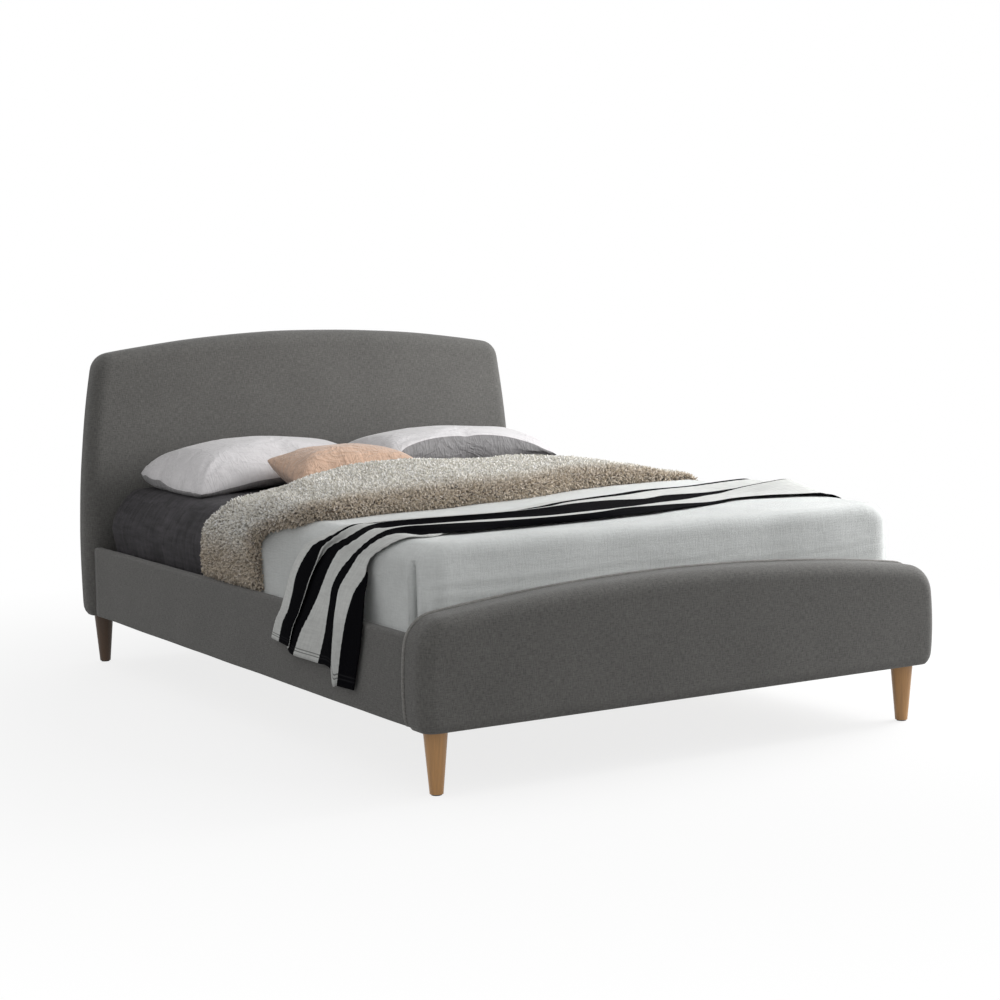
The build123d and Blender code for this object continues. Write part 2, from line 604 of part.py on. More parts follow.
# Slats across the ledges, joined by two lengths of webbing
slat_half = rail_inside - SLAT_END_ROOM
first_slat = foot_inside + SLAT_FIRST_SETBACK + SLAT_WIDTH / 2
last_slat = head_inside - SLAT_FIRST_SETBACK - SLAT_WIDTH / 2
slat_pitch = (last_slat - first_slat) / (SLAT_COUNT - 1)
for index in range(SLAT_COUNT):
    middle = first_slat + index * slat_pitch
    y = (middle - SLAT_WIDTH / 2, middle + SLAT_WIDTH / 2)
    parts[f"slat_{index + 1:02d}"] = block((-slat_half, slat_half), y, (ledge_top, slat_top))
webbing_y = (first_slat - SLAT_WIDTH / 2, last_slat + SLAT_WIDTH / 2)
for name, x in (("left", -slat_half / 2), ("right", slat_half / 2)):
    limits = (x - WEBBING_WIDTH / 2, x + WEBBING_WIDTH / 2)
    parts[f"{name}_slat_webbing"] = block(limits, webbing_y, (slat_top, slat_top + WEBBING_THICKNESS))

# Mattress and bedding
mattress = rounded_mattress(0, 0)
parts["mattress"] = mattress
parts["fitted_sheet"] = rounded_mattress(SHEET_THICKNESS, SHEET_THICKNESS) - mattress
parts["bed_cover"] = bed_cover()
parts["pile_throw"] = pile_throw()
parts["striped_throw"] = striped_throw()

# Pillows lie on the sheet by the headboard, and the cushion leans on the left pillow's front edge
pillow_floor = sheet_top + LAYER_CLEARANCE
pillow_length = (MATTRESS_WIDTH - PILLOW_MIDDLE_GAP) / 2 - PILLOW_SIDE_GAP
pillow_x = (pillow_length + PILLOW_MIDDLE_GAP) / 2
pillow_y = head_inside - PILLOW_HEAD_GAP - PILLOW_WIDTH / 2
pillow_shape = pillow(pillow_length, PILLOW_WIDTH, PILLOW_HEIGHT)
parts["left_pillow"] = Pos(-pillow_x, pillow_y, pillow_floor) * pillow_shape
parts["right_pillow"] = Pos(pillow_x, pillow_y, pillow_floor) * pillow_shape
cushion = Rot(CUSHION_TILT, 0, 0) * pillow(CUSHION_LENGTH, CUSHION_WIDTH, CUSHION_HEIGHT)
cushion_box = cushion.bounding_box()
cushion_y = pillow_y - PILLOW_WIDTH / 2 - CUSHION_PILLOW_GAP - cushion_box.max.Y
parts["cushion"] = Pos(-CUSHION_OFF_CENTRE, cushion_y, pillow_floor - cushion_box.min.Z) * cushion

os.makedirs("parts", exist_ok=True)
for name, shape in parts.items():
    export_step(shape, f"parts/{name}.step")
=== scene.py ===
"""Looks of an upholstered double bed, made up with its bedding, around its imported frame."""

import math

import bmesh
import bpy
from bpy.props import FloatProperty, FloatVectorProperty, PointerProperty
from mathutils import Matrix, Vector, noise


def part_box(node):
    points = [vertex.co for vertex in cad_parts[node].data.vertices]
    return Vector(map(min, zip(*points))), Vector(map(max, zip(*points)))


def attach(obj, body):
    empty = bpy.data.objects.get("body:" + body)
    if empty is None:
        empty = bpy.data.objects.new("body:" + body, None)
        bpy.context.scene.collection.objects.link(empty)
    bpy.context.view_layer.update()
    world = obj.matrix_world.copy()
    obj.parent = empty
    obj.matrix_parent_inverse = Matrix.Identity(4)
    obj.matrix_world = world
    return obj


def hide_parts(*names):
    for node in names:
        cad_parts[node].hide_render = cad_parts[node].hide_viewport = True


bl_info = {
    "name": "Upholstered bed",
    "version": (1, 0, 0),
    "blender": (4, 5, 0),
    "location": "View3D > Sidebar > Bed",
    "description": "Upholstery, timber, bedding and studio for a padded double bed",
    "category": "Object",
}

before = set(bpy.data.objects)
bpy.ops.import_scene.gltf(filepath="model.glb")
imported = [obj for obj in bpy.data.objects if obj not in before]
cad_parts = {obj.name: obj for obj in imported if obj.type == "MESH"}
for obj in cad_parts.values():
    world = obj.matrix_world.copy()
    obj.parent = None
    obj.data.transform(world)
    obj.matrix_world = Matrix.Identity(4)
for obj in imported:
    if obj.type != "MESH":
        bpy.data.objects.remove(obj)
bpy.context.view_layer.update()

HEAD_LOW, HEAD_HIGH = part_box("headboard_cover")
FOOT_LOW, FOOT_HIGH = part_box("footboard_cover")
MATTRESS_LOW, MATTRESS_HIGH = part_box("mattress")
SHEET_LOW, SHEET_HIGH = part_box("fitted_sheet")
COVER_LOW, COVER_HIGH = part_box("bed_cover")
RAIL_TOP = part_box("left_side_rail_cover")[1].z
UNDERSIDE = HEAD_LOW.z

# Outlines of the two boards, in metres
BOARD_UNDERCUT = 0.012
BOARD_FOOT_CORNER = 0.046
HEADBOARD = {
    "half": HEAD_HIGH.x, "top": HEAD_HIGH.z, "side_radius": 3.25, "widest": 0.320,
    "crown_radius": 4.1, "corner": 0.062,
}
FOOTBOARD = {
    "half": FOOT_HIGH.x, "top": FOOT_HIGH.z, "side_radius": 0.76, "widest": 0.250,
    "crown_radius": 5.2, "corner": 0.078,
}
HEADBOARD_EDGE = 0.040
FOOTBOARD_EDGE = 0.036
FOOTBOARD_BACK_EDGE = 0.014
# How far the headboard's back is set in for its dust cloth
BACK_RECESS = 0.004
# Piping behind each board: inset from the outline, distance from the back, radius
PIPING = {"headboard": (0.010, 0.0185, 0.0030), "footboard": (0.0017, 0.0042, 0.0042)}
RAIL_ROUNDING = 0.009
WEBBING_THICKNESS = 0.0012

# Mattress, sheet and cover. The cover ends where the deep-pile throw hides it, and its corner pleats
# stand at an angle from the foot.
MATTRESS_CORNER = 0.060
MATTRESS_EDGE = 0.035
MATTRESS_INSET = 0.006
LOWER_EDGE = 0.030
UNDER_RETURN, SHEET_RETURN = 0.050, 0.058
SHEET_EDGE = 0.072
SHEET_GROW = 0.002
COVER_GROW = COVER_HIGH.x - MATTRESS_HIGH.x
COVER_EDGE = MATTRESS_EDGE + COVER_GROW
COVER_HEAD_END = min(COVER_HIGH.y, 0.070)
COVER_CELL = 0.0065
PLEAT_TURN = math.radians(66)

# Points along a throw's path over the bed
PATH_STEPS = 400

# Striped throw: where its stripes' edges run. Each station is a place along the throw's path and the
# Y of the stripes' edges across it, from the head side to the foot side. On top the seventh value is the
# fold inside the third dark stripe, past which the throw is tucked under itself, and the ninth the fold
# inside the last pale one, where it is tucked at the shoulder. The hem has a height for each edge, and
# one more a little past the seventh.
STRIPE_WIDTHS = (0.048, 0.055, 0.070, 0.088, 0.098, 0.078, 0.056, 0.085)
CREAM, INK = (0.73, 0.74, 0.72, 1.0), (0.003, 0.003, 0.004, 1.0)
STRIPED_THICKNESS = 0.0022
TUCK_SHARE = 0.72
EDGE_SHARE = 0.80
HANGING_X = -0.731
HANGING_LOW, HANGING_HIGH = 0.23, 0.34
HEM_HEIGHTS = (0.258, 0.256, 0.252, 0.242, 0.235, 0.233, 0.231, 0.193, 0.196)
HEM_DROP = (0.018, 0.195)
HANGING_STATIONS = (
    (0.23, (-0.285, -0.334, -0.398, -0.372, -0.420, -0.542, -0.622, -0.634, -0.720)),
    (0.30, (-0.317, -0.363, -0.428, -0.402, -0.469, -0.578, -0.632, -0.660, -0.752)),
    (0.34, (-0.348, -0.395, -0.460, -0.434, -0.511, -0.594, -0.640, -0.681, -0.766)),
    (0.38, (-0.358, -0.404, -0.476, -0.450, -0.538, -0.596, -0.638, -0.690, -0.760)),
    (0.42, (-0.362, -0.403, -0.484, -0.460, -0.553, -0.593, -0.637, -0.702, -0.747)),
)
SHOULDER_STATIONS = (
    (0.46, (-0.378, -0.422, -0.500, -0.486, -0.570, -0.618, -0.654, -0.666, -0.730, -0.737, -0.742)),
    (0.50, (-0.415, -0.462, -0.516, -0.526, -0.600, -0.664, -0.688, -0.699, -0.752, -0.740, -0.700)),
)
TOP_STATIONS = (
    (-0.68, (-0.505, -0.552, -0.578, -0.603, -0.672, -0.714, -0.744, -0.755, -0.815, -0.800, -0.755)),
    (-0.654, (-0.535, -0.575, -0.605, -0.632, -0.685, -0.745, -0.780, -0.795, -0.850, -0.832, -0.785)),
    (-0.60, (-0.520, -0.560, -0.605, -0.636, -0.672, -0.780, -0.825, -0.845, -0.862, -0.842, -0.790)),
    (-0.50, (-0.500, -0.545, -0.595, -0.624, -0.661, -0.798, -0.853, -0.835, -0.800, -0.785, -0.730)),
    (-0.40, (-0.500, -0.545, -0.597, -0.626, -0.662, -0.812, -0.846, -0.825, -0.790, -0.775, -0.720)),
    (-0.30, (-0.505, -0.550, -0.605, -0.634, -0.678, -0.822, -0.843, -0.822, -0.787, -0.772, -0.717)),
    (-0.20, (-0.500, -0.545, -0.598, -0.627, -0.692, -0.822, -0.843, -0.822, -0.787, -0.772, -0.717)),
    (-0.10, (-0.460, -0.505, -0.558, -0.600, -0.685, -0.806, -0.830, -0.808, -0.773, -0.758, -0.703)),
    (0.0, (-0.415, -0.457, -0.502, -0.560, -0.672, -0.762, -0.807, -0.785, -0.750, -0.735, -0.680)),
    (0.10, (-0.395, -0.438, -0.480, -0.535, -0.648, -0.728, -0.784, -0.762, -0.727, -0.712, -0.657)),
    (0.20, (-0.385, -0.428, -0.468, -0.545, -0.620, -0.698, -0.760, -0.738, -0.703, -0.688, -0.633)),
    (0.30, (-0.355, -0.396, -0.432, -0.500, -0.600, -0.698, -0.728, -0.706, -0.671, -0.656, -0.601)),
    (0.40, (-0.345, -0.385, -0.418, -0.515, -0.565, -0.668, -0.684, -0.662, -0.627, -0.612, -0.557)),
    (0.50, (-0.345, -0.385, -0.415, -0.520, -0.545, -0.672, -0.684, -0.662, -0.627, -0.612, -0.557)),
    (0.60, (-0.348, -0.388, -0.418, -0.555, -0.575, -0.707, -0.722, -0.700, -0.665, -0.650, -0.595)),
    (0.68, (-0.350, -0.390, -0.420, -0.560, -0.580, -0.722, -0.775, -0.753, -0.718, -0.703, -0.648)),
)
# How far those lines stand off the cover: hanging at the left, on top, right of the middle, at the right edge
HANGING_LIFT = (0.004, 0.009, 0.013, 0.001, 0.011, 0.006, 0.010, 0.011, 0.006, 0.004, 0.003)
TOP_LIFT = (0.001, 0.003, 0.008, 0.014, 0.004, 0.018, 0.004, 0.0015, 0.0012, 0.001, 0.001)
RIGHT_LIFT = (0.002, 0.010, 0.011, 0.006, 0.003, 0.0055, 0.003, 0.0015, 0.0012, 0.001, 0.001)
END_LIFT = (0.006, 0.020, 0.020, 0.019, 0.031, 0.007, 0.003, 0.0015, 0.0012, 0.001, 0.001)

# Deep-pile throw: Y of its foot edge, crown and head edge, its thickness, and the share of that kept near
# the head edge, at heights down the left side, places across the top and heights down the right side
PILE_LEFT = (
    (0.36, (-0.150, 0.010, 0.206, 0.020, 0.8)),
    (0.43, (-0.146, 0.010, 0.208, 0.023, 0.8)),
    (0.48, (-0.146, 0.000, 0.190, 0.024, 0.7)),
    (0.51, (-0.195, -0.050, 0.140, 0.026, 0.6)),
    (0.53, (-0.275, -0.110, 0.105, 0.027, 0.5)),
)
PILE_TOP = (
    (-0.672, (-0.362, -0.150, 0.090, 0.032, 0.36)),
    (-0.640, (-0.400, -0.150, 0.100, 0.034, 0.30)),
    (-0.606, (-0.406, -0.130, 0.130, 0.038, 0.30)),
    (-0.550, (-0.398, -0.080, 0.170, 0.052, 0.36)),
    (-0.485, (-0.388, -0.020, 0.200, 0.060, 0.46)),
    (-0.416, (-0.383, 0.030, 0.208, 0.065, 0.60)),
    (-0.322, (-0.374, 0.065, 0.210, 0.072, 0.70)),
    (-0.214, (-0.350, 0.085, 0.207, 0.077, 0.70)),
    (-0.106, (-0.320, 0.095, 0.208, 0.075, 0.70)),
    (0.014, (-0.285, 0.100, 0.210, 0.068, 0.70)),
    (0.203, (-0.195, 0.105, 0.216, 0.066, 0.70)),
    (0.355, (-0.160, 0.100, 0.214, 0.058, 0.70)),
    (0.480, (-0.150, 0.090, 0.200, 0.040, 0.70)),
    (0.580, (-0.140, 0.060, 0.165, 0.016, 0.70)),
    (0.660, (-0.130, 0.040, 0.140, 0.007, 0.70)),
)
PILE_RIGHT = ((0.50, (-0.124, 0.030, 0.130, 0.007, 0.8)), (0.36, (-0.120, 0.030, 0.120, 0.008, 0.8)))
# Painted shade: this tone darkens the front of the pile's roll and its low hanging side.
PILE_SHADE_TONE = (0.71, 0.63, 0.545, 1.0)
TUFT_DENSITY = 52000.0
# The tufts' pieces, each with the span of X it stands on
TUFT_BANDS = (
    ("left", -1.0, -0.42), ("mid_left", -0.42, -0.02), ("mid_right", -0.02, 0.36), ("right", 0.36, 1.0),
)

# How the pillows and the cushion lie: what laid_down takes
PILLOWS = {
    "left_pillow": {
        "front_seam": ((-1, 0.0), (-0.62, 0.10), (-0.29, 0.22), (0.4, 0.30), (1, 0.25)),
        "back_seam": ((-1, 0.22), (-0.6, 0.42), (0.6, 0.46), (1, 0.34)),
        "core": 0.42, "lean": 0.10, "dip": 0.11, "ears": 0.05, "outer": -1, "droop": 0.026,
    },
    "right_pillow": {
        "front_seam": ((-1, 0.30), (-0.72, 0.72), (-0.1, 1.02), (0.4, 0.86), (0.8, 0.50), (1, 0.30)),
        "back_seam": ((-1, 0.30), (-0.6, 0.45), (0.6, 0.60), (1, 0.44)),
        "core": 0.44, "lean": 0.75, "dip": 0.14, "ears": 0.05, "outer": 1,
    },
}
CUSHION = {
    "front_seam": ((-1, 0.18), (0, 0.25), (1, 0.18)), "back_seam": ((-1, 0.70), (0, 0.72), (1, 0.52)),
    "core": 0.48,
}
# How much shorter the cushion is than its solid, and the depth of its flat case
CUSHION_SHORT = 0.030
CUSHION_DEPTH = 0.25
# How a case lies: its gap to the floor, how softly it settles there, the height of the puckers at its corners
FLOOR_GAP, SETTLE, PUCKER = 0.0015, 0.005, 0.0075

# Lamps: place, target, width, height and power
LAMPS = {
    "Overhead softbox": ((0.3, -0.2, 4.0), (0.0, 0.0, 0.3), 3.0, 3.0, 2.0),
    "Right softbox": ((2.4, -0.8, 1.7), (0.0, 0.5, 0.5), 2.0, 1.6, 84.0),
}
WORLD_STRENGTH = 0.585
FLOOR_BOUNCE, FLOOR_SEEN = (0.50, 0.50, 0.50, 1.0), (0.92, 0.92, 0.92, 1.0)
WHITE = (1.0, 1.0, 1.0, 1.0)
CAMERA_PLACE = Vector((-2.9008, -4.9556, 1.1260))
CAMERA_TURN = 0.5448
CAMERA_DOWN = 0.1045
CAMERA_ROLL = -0.0161
CAMERA_LENS = 75.803


def colour(name, description, default):
    """A colour property."""
    return FloatVectorProperty(
        name=name, description=description, subtype="COLOR", size=3, default=default, min=0.0, max=1.0,
    )


class BedLooks(bpy.types.PropertyGroup):
    """Colours of the upholstery, timber and bedding."""

    upholstery: colour("Upholstery", "Mid tone of the woven cover", (0.135, 0.132, 0.125))
    leg_timber: colour("Leg timber", "Mid tone of the turned legs", (0.49, 0.257, 0.094))
    sheet: colour("Fitted sheet", "Charcoal cotton", (0.036, 0.033, 0.037))
    cover: colour("Bed cover", "Pale washed cotton", (0.70, 0.72, 0.71))
    pile_tip: colour("Pile tips", "Lightest yarn of the deep pile", (1.0, 0.98, 0.905))
    # Painted shade too: this colour darkens each tuft at its root and most of the ground cloth between the
    # tufts.
    pile_root: colour("Pile roots", "Darkest yarn of the deep pile", (0.27, 0.215, 0.16))
    satin: colour("Pillow satin", "Grey satin of the pillows", (0.70, 0.68, 0.69))
    cushion: colour("Cushion", "Terracotta brushed cloth", (0.68, 0.46, 0.335))


class BedSizes(bpy.types.PropertyGroup):
    """Sizes that only the looks have."""

    cell: FloatProperty(
        name="Cloth cell", description="Spacing of the points on padded pieces",
        default=0.014, min=0.006, max=0.05, unit="LENGTH",
    )
    tuft: FloatProperty(
        name="Tuft length", description="Length of the pile's tufts",
        default=0.0115, min=0.003, max=0.04, unit="LENGTH",
    )
    pillow_pressure: FloatProperty(
        name="Pillow pressure", description="How hard the pillows are blown up",
        default=5.0, min=0.5, max=30.0,
    )


# Curves and numbers


def ease(low, high, value):
    """0 below low, 1 above high, smooth between."""
    share = min(max((value - low) / (high - low), 0.0), 1.0)
    return share * share * (3 - 2 * share)


def bump(value, centre, width):
    """A smooth hump of height 1."""
    return math.exp(-(((value - centre) / width) ** 2))


def along(points, place):
    """A smooth line through (place, value) points in rising order; value may be a tuple."""
    if place <= points[0][0]:
        return points[0][1]
    if place >= points[-1][0]:
        return points[-1][1]
    k = next(i for i in range(1, len(points)) if place <= points[i][0])
    p0, p1 = points[max(k - 2, 0)], points[k - 1]
    p2, p3 = points[k], points[min(k + 1, len(points) - 1)]
    span = p2[0] - p1[0]
    t = (place - p1[0]) / span

    def one(a, b, c, d):
        start = (c - a) / (p2[0] - p0[0]) * span
        end = (d - b) / (p3[0] - p1[0]) * span
        h = t * t * (3 - 2 * t)
        return b * (1 - h) + c * h + start * t * (1 - t) ** 2 - end * t * t * (1 - t)

    if isinstance(p1[1], tuple):
        return tuple(one(*v) for v in zip(p0[1], p1[1], p2[1], p3[1]))
    return one(p0[1], p1[1], p2[1], p3[1])


def rough(x, y, z, seed=0.0):
    """Smooth noise from about -1 to 1."""
    return noise.noise(Vector((x + seed, y - 1.7 * seed, z + 0.6 * seed)))


# Meshes


def linked(name, mesh, material):
    """A smooth object at the origin with one material, in its slot."""
    mesh.name = name
    mesh.shade_smooth()
    mesh.materials.append(material)
    piece = bpy.data.objects.new(name, mesh)
    bpy.context.scene.collection.objects.link(piece)
    return piece


def make_piece(name, bm, material):
    """A finished object from a bmesh."""
    mesh = bpy.data.meshes.new(name)
    bm.to_mesh(mesh)
    bm.free()
    return linked(name, mesh, material)


def evaluated_mesh(piece):
    """A mesh of the piece as its modifiers leave it."""
    depsgraph = bpy.context.evaluated_depsgraph_get()
    shown = piece.evaluated_get(depsgraph)
    return bpy.data.meshes.new_from_object(shown, preserve_all_data_layers=True, depsgraph=depsgraph)


def face_outwards(bm):
    """Turns all faces to one side."""
    bmesh.ops.recalc_face_normals(bm, faces=bm.faces)


def cut_off(bm, place, normal):
    """Cuts away what lies behind a plane and returns the edges of the cut."""
    geom = bm.verts[:] + bm.edges[:] + bm.faces[:]
    cut = bmesh.ops.bisect_plane(bm, geom=geom, dist=1e-6, plane_co=place, plane_no=normal, clear_inner=True)
    return [item for item in cut["geom_cut"] if isinstance(item, bmesh.types.BMEdge)]


def box_cloth_map(bm):
    """A UV map in metres, laid on from the side that each face looks to."""
    layer = bm.loops.layers.uv.new("UVMap")
    bm.normal_update()
    for face in bm.faces:
        size = [abs(c) for c in face.normal]
        pair = ((1, 2), (0, 2), (0, 1))[size.index(max(size))]
        for loop in face.loops:
            loop[layer].uv = (loop.vert.co[pair[0]], loop.vert.co[pair[1]])


def cloth_grid(columns, rows, place, width, length):
    """A grid of cloth, each point moved to place(share across, share along), with a UV map in metres."""
    bm = bmesh.new()
    layer = bm.loops.layers.uv.new("UVMap")
    bmesh.ops.create_grid(bm, x_segments=columns, y_segments=rows, size=0.5)
    for face in bm.faces:
        for loop in face.loops:
            loop[layer].uv = ((loop.vert.co.x + 0.5) * width, (loop.vert.co.y + 0.5) * length)
    for vert in bm.verts:
        vert.co = place(vert.co.x + 0.5, vert.co.y + 0.5)
    return bm


def ring_edges(bm, ring):
    """The edges of a closed ring of vertices."""
    return [bm.edges.get(pair) for pair in zip(ring, ring[1:] + ring[:1])]


def extrude_ring(bm, ring, places):
    """Extrudes a closed ring of vertices to new places and returns the new ring."""
    made = bmesh.ops.extrude_edge_only(bm, edges=ring_edges(bm, ring))["geom"]
    fresh = {item for item in made if isinstance(item, bmesh.types.BMVert)}
    grown = []
    for vert, place in zip(ring, places):
        twin = next(e.other_vert(vert) for e in vert.link_edges if e.other_vert(vert) in fresh)
        twin.co = place
        grown.append(twin)
    return grown


def arc(centre, radius, start, end, steps=40):
    """Points on an arc with their outward directions, as (a, b, out a, out b)."""
    turns = [start + (end - start) * k / steps for k in range(steps + 1)]
    return [
        (centre[0] + radius * math.cos(t), centre[1] + radius * math.sin(t), math.cos(t), math.sin(t))
        for t in turns
    ]


def flipped(points):
    """The same points on the other side."""
    return [(-a, b, -na, nb) for a, b, na, nb in points]


def inset_by(point, inwards):
    """A point of an outline moved inwards."""
    return point[0] - point[2] * inwards, point[1] - point[3] * inwards


def distances(points):
    """How far along a line each of its points is."""
    far = [0.0]
    for p, q in zip(points, points[1:]):
        far.append(far[-1] + math.hypot(q[0] - p[0], q[1] - p[1]))
    return far


def resampled(points, count):
    """count + 1 of the outline's points, evenly apart."""
    far = distances(points)
    out, k = [], 0
    for step in range(count + 1):
        at = far[-1] * step / count
        while k < len(far) - 2 and far[k + 1] < at:
            k += 1
        t = (at - far[k]) / max(far[k + 1] - far[k], 1e-9)
        a, b, na, nb = (u + (v - u) * t for u, v in zip(points[k], points[k + 1]))
        size = math.hypot(na, nb)
        out.append((a, b, na / size, nb / size))
    return out


def board_sides(half, top, side_radius, widest, crown_radius, corner, bottom):
    """The outline's bottom, right, top and left sides, each from the middle of a corner to the next."""
    side_x = half - side_radius
    crown_z = top - crown_radius
    low = (side_x + math.sqrt((side_radius - BOARD_FOOT_CORNER) ** 2
           - (bottom + BOARD_FOOT_CORNER - widest) ** 2), bottom + BOARD_FOOT_CORNER)
    r1, r2 = side_radius - corner, crown_radius - corner
    apart = math.hypot(side_x, crown_z - widest)
    reach = (r1 ** 2 - r2 ** 2 + apart ** 2) / (2 * apart)
    across = math.sqrt(r1 ** 2 - reach ** 2)
    ux, uz = -side_x / apart, (crown_z - widest) / apart
    middle = side_x + ux * reach, widest + uz * reach
    high = max((middle[0] + s * uz * across, middle[1] - s * ux * across) for s in (1, -1))
    low_turn = math.atan2(low[1] - widest, low[0] - side_x)
    high_turn = math.atan2(high[1] - widest, high[0] - side_x)
    crown_turn = math.atan2(high[1] - crown_z, high[0])
    low_mid = (low_turn - math.pi / 2) / 2
    high_mid = (high_turn + crown_turn) / 2
    foot = arc(low, BOARD_FOOT_CORNER, -math.pi / 2, low_mid)
    right = arc(low, BOARD_FOOT_CORNER, low_mid, low_turn)
    right += arc((side_x, widest), side_radius, low_turn, high_turn, 120)[1:]
    right += arc(high, corner, high_turn, high_mid)[1:]
    crown = arc(high, corner, high_mid, crown_turn)
    crown += arc((0.0, crown_z), crown_radius, crown_turn, math.pi / 2, 120)[1:]
    return flipped(foot)[::-1] + foot, right, flipped(crown)[:-1] + crown[::-1], flipped(right)


def block_sides(half, foot, head, corner):
    """The sides of a rounded rectangle seen from above, each from the middle of a corner to the next."""
    quarter = math.pi / 2
    near, far = (half - corner, foot + corner), (half - corner, head - corner)
    foot_arc = arc(near, corner, -quarter, -quarter / 2)
    right = arc(near, corner, -quarter / 2, 0) + arc(far, corner, 0, quarter / 2)
    head_arc = arc(far, corner, quarter / 2, quarter)
    return flipped(foot_arc)[::-1] + foot_arc, right, flipped(head_arc) + head_arc[::-1], flipped(right)


def between(sides, i, j, u, v):
    """The place in column i and row j of a grid inside four sides of (a, b) points, at shares u and v."""
    bottom, right, top, left = sides
    spot = []
    for axis in (0, 1):
        ends = (1 - u) * (1 - v) * bottom[0][axis] + u * (1 - v) * bottom[-1][axis]
        ends += (1 - u) * v * top[0][axis] + u * v * top[-1][axis]
        upright = (1 - v) * bottom[i][axis] + v * top[i][axis]
        spot.append(upright + (1 - u) * left[j][axis] + u * right[j][axis] - ends)
    return spot


def padded_form(sides, columns, rows, profile, to_world):
    """A crowned face with a rolled edge.

    profile is (inset, depth) pairs from the face's rim outwards; to_world turns (a, b, depth) into a
    place. Returns the bmesh and its last ring.
    """
    bottom, right, top, left = (resampled(side, n) for side, n in zip(sides, (columns, rows, columns, rows)))
    inset, depth = profile[0]
    rim = [[inset_by(p, inset) for p in side] for side in (bottom, right, top, left)]
    bm = bmesh.new()
    bmesh.ops.create_grid(bm, x_segments=columns, y_segments=rows, size=0.5)
    grid = {}
    for vert in bm.verts:
        i, j = round((vert.co.x + 0.5) * columns), round((vert.co.y + 0.5) * rows)
        grid[i, j] = vert
        vert.co = to_world(*between(rim, i, j, i / columns, j / rows), depth)
    ring = [grid[i, 0] for i in range(columns)] + [grid[columns, j] for j in range(rows)]
    ring += [grid[i, rows] for i in range(columns, 0, -1)] + [grid[0, j] for j in range(rows, 0, -1)]
    outline = bottom[:-1] + right[:-1] + top[:0:-1] + left[:0:-1]
    for inset, depth in profile[1:]:
        ring = extrude_ring(bm, ring, [to_world(*inset_by(p, inset), depth) for p in outline])
    return bm, ring


def close_ring(bm, ring, inset=0.02):
    """Closes an open end with one face that has a narrow border."""
    face = bmesh.ops.edgeloop_fill(bm, edges=ring_edges(bm, ring))["faces"]
    bmesh.ops.inset_region(bm, faces=face, thickness=inset, use_even_offset=True)


def rolled(edge, steps, depth):
    """Profile of a rounded edge from the face's rim to the side, as (inset, depth)."""
    turns = [math.pi / 2 * k / steps for k in range(steps + 1)]
    return [(edge * (1 - math.sin(t)), depth + edge * (1 - math.cos(t))) for t in turns]


def swell(bm, height):
    """Moves each point along its normal by height(place)."""
    bm.normal_update()
    moves = [(vert, vert.normal * height(vert.co)) for vert in bm.verts]
    for vert, move in moves:
        vert.co += move


def welt(name, places, radius, material):
    """A thin sewn cord along a line of places."""
    curve = bpy.data.curves.new(name, "CURVE")
    curve.dimensions = "3D"
    spline = curve.splines.new("POLY")
    spline.points.add(len(places) - 1)
    for point, place in zip(spline.points, places):
        point.co = (*place, 1.0)
    curve.bevel_depth = radius
    curve.bevel_resolution = 2
    cord = bpy.data.objects.new(name + "_line", curve)
    mesh = bpy.data.meshes.new_from_object(cord)
    bpy.data.objects.remove(cord)
    bpy.data.curves.remove(curve)
    mesh.materials.clear()
    return linked(name, mesh, material)


# Materials


EVEN = (1.0, 1.0, 1.0)


def set_inputs(tree, node, inputs):
    """Sets a node's inputs to values, or joins them to other nodes' outputs."""
    for key, value in inputs.items():
        if isinstance(value, bpy.types.NodeSocket):
            tree.links.new(value, node.inputs[key])
        else:
            node.inputs[key].default_value = value


def add(tree, kind, inputs=None, **settings):
    """A node with its settings and inputs."""
    node = tree.nodes.new(kind)
    for key, value in settings.items():
        setattr(node, key, value)
    set_inputs(tree, node, inputs or {})
    return node


def math_node(tree, operation, first, second=0.0):
    return add(tree, "ShaderNodeMath", {0: first, 1: second}, operation=operation).outputs[0]


def away_from(tree, value, middle):
    """How far a value is from a middle."""
    return math_node(tree, "ABSOLUTE", math_node(tree, "SUBTRACT", value, middle))


def blend(tree, first, second, share):
    """A share of the first value and the rest of the second."""
    parts = math_node(tree, "MULTIPLY", first, share), math_node(tree, "MULTIPLY", second, 1 - share)
    return math_node(tree, "ADD", *parts)


def mix_colour(tree, share, first, second, blend_type="MIX"):
    inputs = {0: share, 6: first, 7: second}
    return add(tree, "ShaderNodeMix", inputs, data_type="RGBA", blend_type=blend_type).outputs[2]


def spread(tree, value, low, high, to_low=0.0, to_high=1.0):
    """Maps a value from one range to another."""
    inputs = {0: value, 1: low, 2: high, 3: to_low, 4: to_high}
    return add(tree, "ShaderNodeMapRange", inputs).outputs[0]


def bumped(tree, height, distance, strength, **more):
    """A normal bent by a height."""
    inputs = {"Height": height, "Distance": distance, "Strength": strength, **more}
    return add(tree, "ShaderNodeBump", inputs).outputs[0]


def stretched_noise(tree, vector, stretch, scale, detail=3.0, roughness=0.6, distortion=0.0):
    turned = add(tree, "ShaderNodeMapping", {"Vector": vector, "Scale": stretch}).outputs[0]
    inputs = {"Vector": turned, "Scale": scale, "Detail": detail, "Roughness": roughness}
    return add(tree, "ShaderNodeTexNoise", {**inputs, "Distortion": distortion}).outputs[0]


def cloth_map(tree):
    return add(tree, "ShaderNodeUVMap", uv_map="UVMap").outputs[0]


def object_place(tree):
    return add(tree, "ShaderNodeTexCoord").outputs["Object"]


